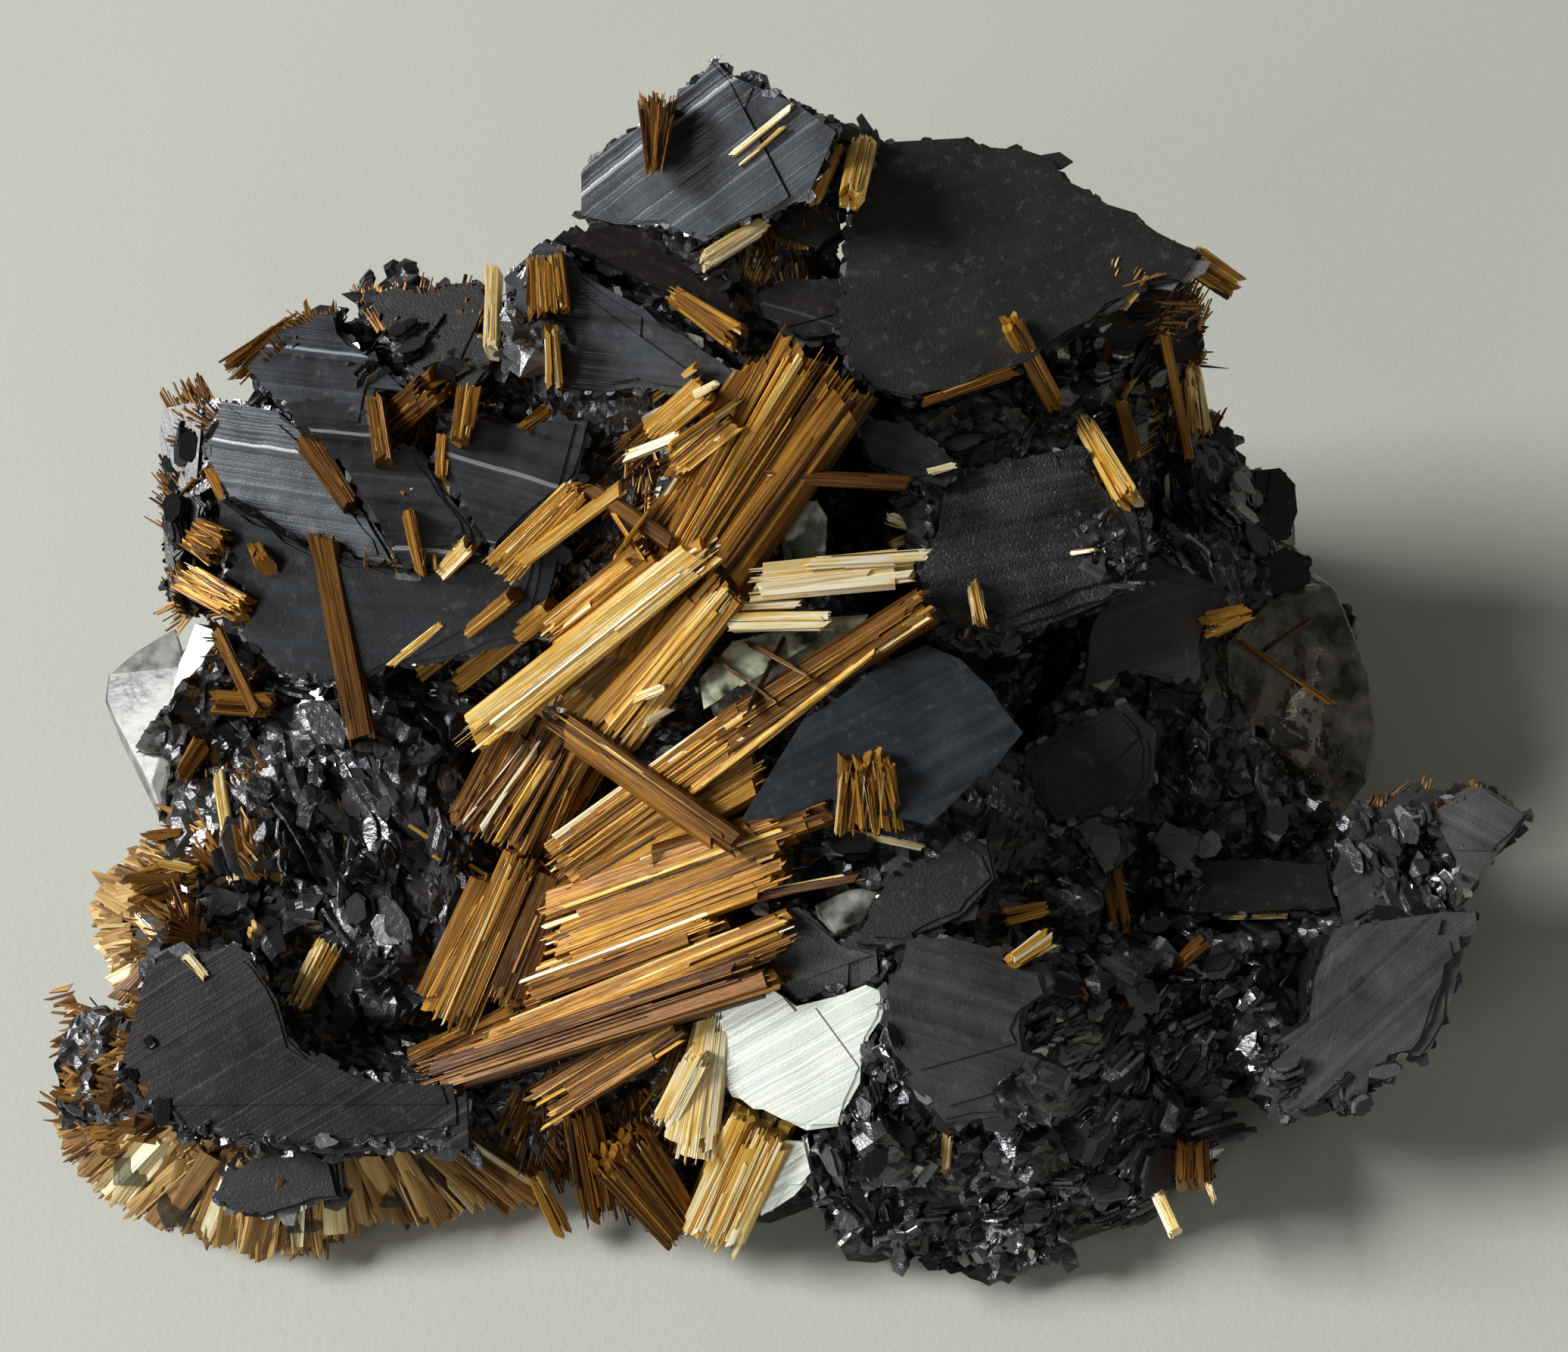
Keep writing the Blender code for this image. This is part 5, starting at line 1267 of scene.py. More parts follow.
    def crystals(self, maker: MeshMaker, place: Vector, normal: Vector, run: Vector, zone: Zone) -> None:
        """One group of crystals at a place.

        Args:
            maker: The mesh to add to.
            place: Where they grow.
            normal: The way the rock faces there.
            run: The way most of them lie.
            zone: The patch they belong to.
        """
        pick = self.chance.random()
        size = zone.size * self.chance.lognormvariate(0.0, 0.35)
        seat = Seat(place, normal, run, size, zone.light)
        if pick < zone.leaves:
            self.leaf(maker, seat)
        elif pick < zone.leaves + zone.books:
            self.book(maker, seat)
        else:
            for _ in range(self.chance.randint(2, 4)):
                step = self.scatter(1.0) * size * 0.55
                step -= normal * step.dot(normal) * 0.8
                aside = self.snapped(place + step)
                self.shard(maker, Seat(aside, normal, run, size * self.chance.uniform(0.35, 1.0), zone.light))

    def scatter(self, spread: float) -> Vector:
        """A small random step."""
        return Vector([self.chance.gauss(0, spread) for _ in range(3)])

    def tone(self, light: float) -> float:
        """Draw how light one crystal is.

        Args:
            light: The mean.

        Returns:
            The lightness, from nought to one.
        """
        if self.chance.random() < BRIGHT_SHARE:
            return self.chance.uniform(0.8, 1.0)
        return min(max(self.chance.gauss(light, 0.16), 0.0), 1.0)

    def shard(self, maker: MeshMaker, seat: Seat) -> None:
        """One blunt broken crystal.

        Args:
            maker: The mesh to add to.
            seat: Where it sits.
        """
        size = seat.size
        way = (seat.normal + self.scatter(0.5)).normalized()
        side = way.orthogonal().normalized()
        other = way.cross(side)
        count = self.chance.choice((3, 4, 4, 5))
        spin = self.chance.uniform(0, math.tau)
        squeeze = self.chance.uniform(0.35, 1.0)
        drift = (side * self.chance.gauss(0, 0.25) + other * self.chance.gauss(0, 0.25)) * size
        taper = self.chance.uniform(0.35, 0.95)
        height = size * self.chance.uniform(0.3, 0.8)
        low = []
        high = []
        for arm in arms(side * size, other * (size * squeeze), count, 0.3, (0.45, 0.75), self.chance, spin):
            low.append(seat.place + arm - way * height * 0.5)
            high.append(seat.place + arm * taper + drift + way * height * self.chance.uniform(0.35, 0.75))
        maker.rings([low, high], self.tone(seat.light))

    def book(self, maker: MeshMaker, seat: Seat) -> None:
        """Thin plates that lie almost parallel, like pages.

        Args:
            maker: The mesh to add to.
            seat: Where they grow.
        """
        size = seat.size
        along, across, heading = seat.turned(self.chance.gauss(0, 0.35), self.chance.uniform(-1.2, 1.2))
        step = size * self.chance.uniform(0.08, 0.16)
        for number in range(self.chance.randint(3, 8)):
            centre = seat.place + heading * (number * step) + seat.normal * size * 0.1
            centre += (along * self.chance.gauss(0, 0.22) + across * self.chance.gauss(0, 0.16)) * size
            length = size * self.chance.uniform(0.6, 1.3)
            width = size * self.chance.uniform(0.35, 0.7)
            thick = step * self.chance.uniform(0.45, 0.8)
            count = self.chance.choice((6, 7, 8))
            ways = list(arms(along * length, across * width, count, 0.25, (0.72, 1.05), self.chance))
            low = [centre + way - heading * thick for way in ways]
            high = [centre + way * 0.97 + heading * thick for way in ways]
            maker.rings([low, high], self.tone(seat.light))

    def leaf(self, maker: MeshMaker, seat: Seat) -> None:
        """One bent and crumpled leaf.

        Args:
            maker: The mesh to add to.
            seat: Where it lies.
        """
        size = seat.size
        along, across, heading = seat.turned(self.chance.gauss(0, 0.3), self.chance.gauss(0, 0.7))
        length = size * self.chance.uniform(1.6, 3.4)
        width = size * self.chance.uniform(0.35, 0.8)
        bend = self.chance.uniform(-0.5, 0.5)
        rings = []
        count = 6
        thick = 0.05 + 0.03 * size
        for number in range(count):
            share = number / (count - 1) - 0.5
            local = width * (1.0 - 1.6 * share * share) * self.chance.uniform(0.75, 1.15)
            rise = (0.22 - share * share) * size * abs(bend) * 2 + self.chance.gauss(0, 0.06) * size
            slide = bend * share * share * size * 1.4
            centre = seat.place + along * (share * length) + heading * rise + across * slide
            crease = heading * (self.chance.uniform(0.05, 0.3) * local)
            rings.append([
                centre - across * local - crease,
                centre - across * local * 0.1 + heading * thick,
                centre + across * local - crease * 0.6,
                centre + across * local - crease * 0.6 - heading * thick,
                centre - across * local * 0.1 - heading * thick,
                centre - across * local - crease - heading * thick,
            ])
        maker.rings(rings, min(self.tone(seat.light), 0.62))

    def outer_rubble(self) -> None:
        """Small crystals on the rough rock all round, also where the photo doesn't look."""
        finish = FlakeFinish().material("hematite_outer_rubble")
        maker = MeshMaker()
        areas = []
        for corners in self.polygons:
            a, b, c = (self.points[corner] for corner in corners[:3])
            areas.append((b - a).cross(c - a).length / 2)
        picks = self.chance.choices(range(len(areas)), weights=areas, k=OUTER_CRYSTALS)
        zone = Zone("all_round", (0.0, 0.0), (0.0, 0.0), 0, 0.75, 0.3, 0.12, 0.4)
        for pick in picks:
            a, b, c = (self.points[corner] for corner in self.polygons[pick][:3])
            normal = (b - a).cross(c - a).normalized()
            first, second = self.chance.random(), self.chance.random()
            if first + second > 1:
                first, second = 1 - first, 1 - second
            place = a + (b - a) * first + (c - a) * second
            if place.z < OUTER_LOWEST or normal.z < OUTER_FACING:
                continue
            if self.owner(place, normal) or self.clean(place):
                continue
            self.crystals(maker, place, normal, normal.orthogonal().normalized(), zone)
        made = maker.build("rubble_all_round", finish)


RUBBLE: list[Zone] = [Zone(*row) for row in (
    ("rim_of_the_front_plate", (58.6, 70.5), (1.2, 4.5), 40, 0.5, 0.34, 0, 0.4, (0.3, 1)),
    ("beside_the_white_chunk", (56.6, 77), (1.8, 3.6), 50, 0.8, 0.3, 0, 0.4, (0.3, 1)),
    ("below_the_sparkling_plate", (65.5, 44.2), (4.2, 2.8), 60, 0.6, 0.3),
    ("on_the_sparkling_plate", (74, 35.5), (2.2, 2.6), 60, 0.4, 0.5, 0, 0.1),
    ("sparkling_slope", (82, 51.5), (4.5, 5), 80, 0.55, 0.34, 0.1, 0.5, (0.5, 1)),
    ("tangle_upper", (20.5, 50), (6, 4), 46, 0.9, 0.36, 0.6, 0.2, (0.6, 1)),
    ("tangle_lower", (21.5, 60), (5.5, 7), 80, 1, 0.4, 0.65, 0.2, (0.42, 1)),
    ("tangle_ridge", (24, 59), (1.6, 8.5), 80, 0.7, 0.5, 0.8, 0.15, (0.35, 1)),
    ("tangle_side", (29, 54), (2.2, 9), 34, 0.8, 0.3, 0.5, 0.2, (0.1, 1)),
    ("front_slope", (62.5, 78.6), (7, 4.4), 90, 0.6, 0.42, 0.1, 0.6, (1, -0.3)),
    ("layered_slope", (74.5, 74.5), (5.6, 5.6), 120, 0.7, 0.46, 0.05, 0.85, (1, -0.7)),
    ("silver_ridge", (71.6, 68.4), (3.6, 1.8), 70, 0.6, 0.66, 0.1, 0.8, (1, -0.7)),
    ("rosette_ridge", (21, 74.9), (9, 0.9), 110, 0.34, 0.58, 0.2, 0.3, (1, 0.15)),
    ("rosette_left_ridge", (13.4, 72.6), (2.4, 1.4), 40, 0.3, 0.56, 0.2, 0.3, (1, 1)),
    ("between_plates", (73, 61), (6, 4.5), 60, 0.65, 0.34, 0.1, 0.5, (1, 0.3)),
    ("upper_step", (34, 22), (2.2, 4), 30, 0.5, 0.25),
    ("crown", (27.5, 23), (4, 2.6), 50, 0.7, 0.25, 0.2, 0.3),
    ("right_slope", (80.5, 66.5), (4, 4.5), 60, 0.7, 0.38, 0.1, 0.6, (1, -0.7)),
    ("right_of_dark_plate", (73, 25.5), (5.5, 3), 80, 0.7, 0.33),
    ("right_edge", (80, 33), (3.6, 4), 70, 0.8, 0.3, 0.2, 0.4, (0.5, 1)),
    ("left_edge", (12.8, 36), (1.6, 8.5), 60, 0.6, 0.25, 0.2, 0.2, (0.1, 1)),
    ("corner", (93, 57), (3.6, 3.2), 70, 0.6, 0.42, 0.1, 0.4, (0.5, 1)),
    ("far_rosette_rim", (88.5, 71.6), (5, 2.6), 60, 0.5, 0.45, 0, 0.5, (1, -0.9)),
    ("bottom_left", (8, 71.5), (4, 4), 40, 0.5, 0.25, 0.2, 0.4, (0.6, 1)),
    # Painted shade: crystals in the middle hollow are made dark for the shadow that falls there.
    ("middle_hollow", (50, 52.5), (7, 4), 50, 0.7, 0.18),
    ("near_middle", (41, 74.5), (7, 4), 60, 0.7, 0.18, 0.2, 0.3),
    ("below_the_slope", (24, 45.8), (8, 1.2), 46, 0.8, 0.4, 0.5, 0.3, (1, 0.1)),
)]


# Rutile.


class Shade(Enum):
    """How light a sheaf is, and how much its needles differ."""

    DARK = (0.24, 0.12)
    BROWN = (0.42, 0.14)
    GOLD = (0.58, 0.14)
    BRIGHT = (0.71, 0.13)
    STRAW = (0.82, 0.11)
    PALE = (0.89, 0.1)
    # Near-white needles: partly pale rutile, partly painted highlight for needles that mirror the window.
    WHITE = (0.98, 0.05)


@dataclass
class Sheaf:
    """A bundle of flat needles from one end to the other."""

    name: str
    start: Spot
    end: Spot
    wide: Pair
    depth: float
    shade: Shade
    splay: float = 0.012
    fray: float = 0.16
    rest: float = 0.5

    def ends(self, rock: Rock, solids: "Solids") -> tuple[Vector, Vector]:
        """Both ends in place.

        Args:
            rock: The rock it lies on.
            solids: The rutile solids of the frame.

        Returns:
            The start and the end in millimetres.
        """
        if len(self.start) > 2:
            return spot(*self.start), spot(*self.end)
        found = []
        spots = []
        for share in (0.2, 0.8):
            right = self.start[0] + (self.end[0] - self.start[0]) * share
            down = self.start[1] + (self.end[1] - self.start[1]) * share
            place = solids.hit(right, down)
            if place is None:
                place, _ = rock.hit(right, down)
            if place is None:
                place = spot(right, down, 6.0)
            found.append(place + sight(right, down).normalized() * self.depth * self.rest)
            spots.append((right, down))
        if (found[1] - found[0]).length > LONGEST * math.dist(*spots):
            level = max(place.z for place in found)
            found = [spot(right, down, level) for right, down in spots]
        step = (found[1] - found[0]) / 3
        return found[0] - step, found[1] + step

    def needles(self, maker: MeshMaker, start: Vector, end: Vector, chance: random.Random) -> None:
        """Add its needles.

        Args:
            maker: The mesh to add to.
            start: Where it starts.
            end: Where it ends.
            chance: Source of unevenness.
        """
        run = (end - start).normalized()
        toward = (EYE - (start + end) / 2).normalized()
        out = (toward - run * toward.dot(run)).normalized()
        across = run.cross(out).normalized()
        size = (start - EYE).length / SHEET_REACH
        wide = (self.wide[0] * size, self.wide[1] * size)
        mean = (wide[0] + wide[1]) / 2
        short = (end - start).length < SHORT_SHEAF
        fine = FINE[short]
        level, spread = self.shade.value
        layers = max(1, round(self.depth / 0.8))
        boards = max(1, round(mean / BOARD[short]))

        def add(side: Spot, lift: Spot, share: Spot, thick: Spot, tips: Spot, shade: float) -> None:
            """Add one needle, with a pair of values for its two ends.

            Args:
                side: Where it lies across the sheaf.
                lift: Where it lies through the sheaf.
                share: Where it lies along the sheaf.
                thick: Its width and thickness.
                tips: Share of its width left at each end.
                shade: How light it is.
            """
            roll = chance.gauss(0, 0.07)
            ends = []
            for at in share:
                offset = (side[0] + (side[1] - side[0]) * at) * (wide[0] + (wide[1] - wide[0]) * at)
                height = lift[0] + (lift[1] - lift[0]) * at
                ends.append(start.lerp(end, at) + across * offset + out * height)
            turned = out * math.cos(roll) + across * math.sin(roll)
            maker.needle(ends[0], ends[1], turned, thick, tips, shade, chance)

        for layer in range(layers):
            for number in range(boards + layer % 2):
                place = (number + 0.5) / (boards + layer % 2) - 0.5 + chance.uniform(-0.05, 0.05)
                sink = 0.4 * place * place * self.depth
                lift = ((layer + 0.5) / layers - 0.5) * self.depth * 0.9 - sink + chance.gauss(0, 0.04)
                ragged = self.fray * (0.3 + 0.7 * layer / max(layers - 1, 1))
                add(
                    (place, place + chance.gauss(0, self.splay)), (lift, lift),
                    (chance.uniform(0.0, ragged), 1.0 - chance.uniform(0.0, ragged)),
                    (mean / boards * chance.uniform(1.05, 1.5), self.depth / layers * 1.1),
                    (chance.uniform(0.6, 1.0), chance.uniform(0.6, 1.0)),
                    chance.gauss(level - 0.03, spread * 0.55),
                )
        for _ in range(max(14, int(mean / fine * 5.5))):
            first = chance.uniform(-0.5, 0.5)
            last = min(max(first + chance.gauss(0, self.splay * 3), -0.54), 0.54)
            crown = 1.0 - 1.1 * first * first
            height = chance.choice((1, 1, 1, 1, 1, -1)) * self.depth
            height *= 0.5 * crown - abs(chance.gauss(0, 0.03))
            if chance.random() < 0.5:
                share = (chance.uniform(-0.02, self.fray * 0.8), 1.0 - chance.uniform(-0.02, self.fray * 0.8))
            else:
                length = chance.uniform(0.25, 0.8)
                begin = chance.uniform(-0.02, 1.0 - length)
                share = (begin, min(begin + length, 1.02))
            needle_wide = fine * chance.choice((0.5, 0.7, 1.0, 1.3, 1.9)) * chance.uniform(0.8, 1.2)
            shade = chance.gauss(level, spread)
            if chance.random() < ODD_SHARE:
                shade = chance.uniform(0.85, 1.0)
            if chance.random() < ODD_SHARE:
                shade = chance.uniform(0.15, 0.35)
            add(
                (first, last), (height, height + chance.gauss(0, self.splay) * self.depth * 3), share,
                (needle_wide, min(needle_wide, 0.3) * chance.uniform(0.3, 0.6)),
                (chance.choice((0.15, 0.5, 0.9)), chance.choice((0.15, 0.5, 0.9))), shade,
            )


def bar(start: Spot, end: Spot, wide: float, shade: Shade) -> Sheaf:
    """A thin bar that lies on whatever is below it."""
    return Sheaf("bar", start, end, (wide, wide * 0.85), 0.45, shade, 0.01, 0.12, -0.35)


G, BR, D, B, W, ST = Shade.GOLD, Shade.BRIGHT, Shade.DARK, Shade.BROWN, Shade.WHITE, Shade.STRAW
PL = Shade.PALE
SHEAVES: list[Sheaf] = [Sheaf(*row) for row in (
    ("upper_sheaf", (38.3, 32.2, 28), (33, 37.8, 24.5), (1.6, 2.6), 1.6, BR),
    ("upper_bar", (41.1, 32.2, 28.5), (34.2, 37.3, 25.5), (0.8, 0.8), 1, ST),
    ("upper_cross_bar", (39, 32.3, 28), (44.4, 36, 27), (0.9, 1), 1.2, B),
    ("orange_sheaf", (43.4, 36.6, 27), (36.6, 42, 23), (2.2, 2.2), 2.4, G),
    ("tan_sheaf", (47.2, 36.1, 28.6), (30.9, 48.9, 19.8), (1.7, 2), 1.8, ST),
    ("main_sheaf", (53.6, 23.2, 32), (41.2, 43.4, 22.5), (5.4, 2.2), 3.4, G),
    ("main_sheaf_flank", (56.6, 25.8, 31), (47, 39, 26), (2.2, 2), 2.6, B),
    ("bright_sheaf", (48.4, 38.4, 26.5), (39.7, 48.9, 19), (2.2, 4.4), 3, BR),
    ("brown_fan", (37.6, 48.6, 18.6), (33.2, 56, 14.2), (4, 5.8), 2.6, B, 0.03, 0.3),
    ("long_sheaf", (61.4, 39.9, 27), (48, 48.6, 21.6), (2.2, 2.6), 2.4, B),
    ("long_sheaf_end", (49.5, 47.6, 22.2), (36.8, 56.8, 15.8), (2.8, 2.6), 2.4, G),
    ("long_strand", (58, 42.9, 26), (45.2, 52.8, 19.6), (0.6, 0.6), 0.9, BR),
    ("thin_bar", (44.5, 53.2, 19), (38.1, 57.3, 15.6), (0.9, 0.8), 1.2, G),
    ("crossing_needle", (36.3, 47.4, 20.6), (48.6, 56.1, 20), (1.2, 1.2), 1.3, B),
    ("white_bar", (49.6, 38.6, 26.6), (60.6, 37.4, 27.6), (2, 1.7), 1.3, W),
    ("upper_white_bar", (53.4, 37.2, 27.8), (61.3, 36.7, 28.4), (0.8, 0.8), 0.9, W),
    ("lower_white_bar", (48, 41.1, 25.2), (54.9, 41, 25.8), (1.3, 1.2), 1.2, W),
    ("small_white_bar", (47.2, 40.2, 25.6), (53, 39.9, 26), (0.6, 0.5), 0.9, W),
    ("yellow_block", (37.5, 47.2, 20.2), (39.8, 45, 21), (2.2, 2.2), 2, ST),
    ("bar_beside", (50.8, 31.5, 29.2), (60, 31.9, 29.4), (0.9, 0.9), 1.2, D),
    ("yellow_piece", (46.7, 25.6, 31), (43, 28.8, 29), (1.8, 1.6), 2, ST),
    ("second_yellow_piece", (48.6, 27.6, 30.8), (44.8, 30.8, 28.4), (1.7, 1.6), 2, BR),
    ("pale_bar", (45.2, 28.7, 30), (41.3, 30.3, 28.6), (0.7, 0.7), 1, W),
    ("short_sheaf", (34.8, 56.4, 15.6), (30, 67.6, 10), (2.4, 2.8), 2.4, G),
    ("curved_sheaf", (52.6, 54.5, 19.6), (36.2, 60.3, 13.8), (1.8, 1.8), 1.8, G),
    ("thin_needle", (57, 57.9, 18.6), (43.5, 60.4, 15.2), (0.6, 0.6), 1, D),
    ("broad_sheaf", (52.6, 61.2, 16.6), (31.6, 69.6, 9.6), (2.6, 2.4), 2.6, G),
    ("broad_sheaf_front", (51.4, 63.8, 15.8), (28.6, 71.2, 8.6), (2.8, 2.2), 2.8, B),
    ("broad_sheaf_back", (48, 60.4, 16), (33.6, 65.8, 10.6), (2.4, 2.2), 2.2, G),
    ("stub", (46.4, 69.2, 12), (43.9, 74.2, 9), (1.6, 1.6), 1.8, W),
    ("small_pile", (42.6, 68.8, 11), (37, 71.4, 8.2), (1.6, 1.8), 2, B),
    ("golden_sheaf", (50.6, 73.9, 9.6), (47.1, 81.6, 3.8), (4.2, 4.2), 2.6, PL),
    ("brown_sheaf", (40.8, 75.6, 8), (45, 81.2, 3.6), (4.6, 3), 2.4, B),
    ("foot_splinter", (35.3, 77.4, 4.6), (37.2, 81.3, 2), (1, 1.3), 1.2, BR),
    ("tall_needle", (21.3, 35.5), (23.9, 49), (1, 1.8), 1.2, B),
    ("middle_bar", (27.8, 44.3), (34, 39.3), (1, 1), 1.2, G),
    ("right_bar", (30.4, 45), (36.4, 40.1), (1.2, 1.2), 1.2, G),
    ("brown_wedge", (19.8, 21, 28.6), (15.1, 24.8, 27.2), (0.9, 1.8), 1.6, B, 0.05, 0.3),
    ("upper_tuft", (20.2, 28.9), (23.2, 33.4), (1.9, 1), 1.2, B),
    ("pointed_tuft", (14.3, 31.3), (17.6, 37.4), (1.4, 0.9), 1.2, G),
    ("small_tuft", (26.9, 33.6), (27.8, 37.9), (0.9, 0.8), 1, G),
    ("pale_tuft", (31.1, 35.9), (29.2, 37.9), (1.2, 0.9), 1, ST),
    ("crown_tuft", (28.8, 25.4), (25.5, 28.2), (2.2, 2), 1.6, B, 0.05, 0.3),
    ("crown_splinter", (31, 25.7), (30.4, 29.2), (1.6, 1.2), 1.4, G),
    ("crown_leaf", (24.8, 26.4), (25.4, 30.6), (1.2, 1.2), 1.2, B),
    ("blade_tuft", (36, 17), (36.3, 20.8), (2.2, 2.6), 1.4, G),
    ("lower_blade_tuft", (36.4, 21.6), (36.6, 25.4), (0.8, 1.2), 1.2, ST),
    ("yellow_needles", (32.6, 18), (32.5, 23.5), (0.8, 1), 1.1, W),
    ("top_tuft", (43.5, 6.2, 40.4), (43.2, 11.4, 37.4), (2.8, 0.8), 1.4, B, 0.05, 0.3),
    ("pale_top_sheaf", (55.4, 9.6), (53.4, 13.5), (0.7, 1.4), 1.3, ST),
    ("top_pair", (57, 9.6), (56.2, 13.2), (1.4, 1.4), 1.4, ST),
    ("pale_sheaf", (50.6, 14.8), (46.4, 17.4), (0.9, 1.1), 1.4, W),
    ("gold_crown", (44.4, 19.4), (48.9, 22.4), (1, 1.9), 1.6, G),
    ("orange_tuft", (12.6, 35.2), (14.8, 36.4), (2, 2.4), 1.6, G, 0.05, 0.3),
    ("left_fan", (12, 38), (16.2, 40.4), (2, 1.6), 1.4, G, 0.05, 0.3),
    ("star", (14, 46.4), (18, 46.6), (1.4, 1.4), 1.4, G),
    ("brown_piece", (13.4, 49.2), (11.9, 51.4), (1.4, 1), 1.2, B),
    ("curved_needle", (14.4, 51), (15.6, 58.6), (0.8, 0.7), 1, W),
    ("green_gold_tuft", (13, 57.6), (8.6, 59), (2.2, 2), 1.4, G, 0.05, 0.3),
    ("pale_leaves", (21.8, 62.4), (19.6, 66.6), (1.9, 1.4), 1.3, ST),
    ("leaf", (66.8, 21.2), (69.8, 26.8), (1.2, 1), 1.3, G),
    ("long_bar", (60.9, 26.6), (67, 24.5), (0.7, 0.7), 1.1, B),
    ("pale_star", (71.6, 28), (74.6, 33.2), (1.2, 1.6), 1.3, ST),
    ("orange_spur", (74, 26.4), (75, 30.2), (0.8, 0.9), 1.2, G),
    ("rutile_tip", (78.6, 17, 31.4), (81.6, 19, 30.4), (1.8, 1.6), 1.6, G),
    ("frayed_tuft", (78.7, 24), (79.2, 28.8), (1, 1.7), 1.3, ST, 0.05, 0.3),
    ("straight_bar", (76.9, 22), (78.6, 30.4), (0.6, 0.6), 1.1, G),
    ("small_spur", (64.3, 38.6), (64.9, 41.3), (0.8, 1.1), 1.1, ST),
    ("plate_tuft", (57.2, 50), (57.4, 54.8), (3.4, 4.2), 1.6, G, 0.05, 0.3, 0.2),
    ("cream_tuft", (82.3, 40.5), (79.7, 41.4), (0.9, 1.5), 1.2, ST),
    ("facet_tuft", (73.4, 57.8), (74.1, 61.4), (1.4, 1.2), 1.2, G),
    ("double_leaf", (69, 60), (66.1, 60.6), (0.9, 1.2), 1.2, G),
    ("lower_leaf", (69.2, 62), (66.8, 63.6), (1.4, 0.9), 1.2, ST),
    ("brown_spur", (79.4, 62.3), (77.9, 63.6), (1.1, 0.9), 1.1, B),
    ("low_pale_bar", (76.5, 78.8), (77.7, 81.5), (0.9, 0.9), 1.1, W),
    ("brown_fringe", (78.9, 75.8), (78.9, 78.4), (2.2, 2.4), 1.2, B),
)]
STRANDS: list[Sheaf] = [Sheaf(*row) for row in (
    ("plate_tuft_foot", (57.2, 50.6, 22), (57.4, 54.2, 20.6), (3, 3), 2.8, B),
    ("top_tuft_foot", (43.4, 7, 38.8), (43.2, 11, 36.6), (2.2, 0.9), 2.2, B),
    ("orange_flank", (48.8, 28.4, 29), (41.8, 38, 24), (2.4, 2.8), 2.2, G),
    ("main_left", (50.4, 24, 31), (44.6, 33, 27.2), (2, 1.8), 1.8, G),
    ("under_tan", (46, 39.4, 25), (37.6, 46.4, 20.4), (1.8, 2.4), 1.6, B),
    ("lower_fan", (40.4, 46.6, 18.8), (34.4, 55.8, 14), (3.8, 4.6), 2.2, G, 0.03, 0.3),
    ("left_fan_end", (34.8, 47, 18.6), (30.8, 54.8, 14.8), (2.4, 3), 1.6, B, 0.03, 0.3),
    ("beside_long_sheaf", (50.6, 50.6, 20.4), (37.4, 58.2, 15.2), (1.6, 2.4), 1.6, G),
    ("curved_lower", (52, 57, 18.4), (36.6, 62.8, 13), (2.6, 2.4), 1.8, G),
    ("curved_upper", (54.8, 53.4, 20), (42.6, 57.6, 16.6), (1.4, 1.8), 1.4, B),
    ("broad_points", (36.6, 66.4, 10.8), (27.4, 70.4, 8.6), (2.8, 1.8), 1.6, B, 0.03, 0.35),
    ("low_bundle", (45, 67.4, 12.4), (35.6, 73.2, 8), (2.4, 2.8), 1.8, B, 0.02, 0.25),
    ("facet_side", (47.4, 66.4, 12.4), (45.8, 76.6, 8.2), (1.4, 2.6), 1.8, W, 0.02, 0.3),
    ("near_strands", (38.2, 72.8, 7.8), (39.8, 80.6, 3.6), (2.2, 2.6), 1.6, B, 0.03, 0.35),
    ("short_side", (36.8, 57.6, 15), (33.2, 66.4, 11), (1.6, 2), 1.6, B),
    ("short_left", (32.6, 58, 14.4), (28.4, 66.4, 10.2), (1.4, 1.6), 1.4, G),
)]
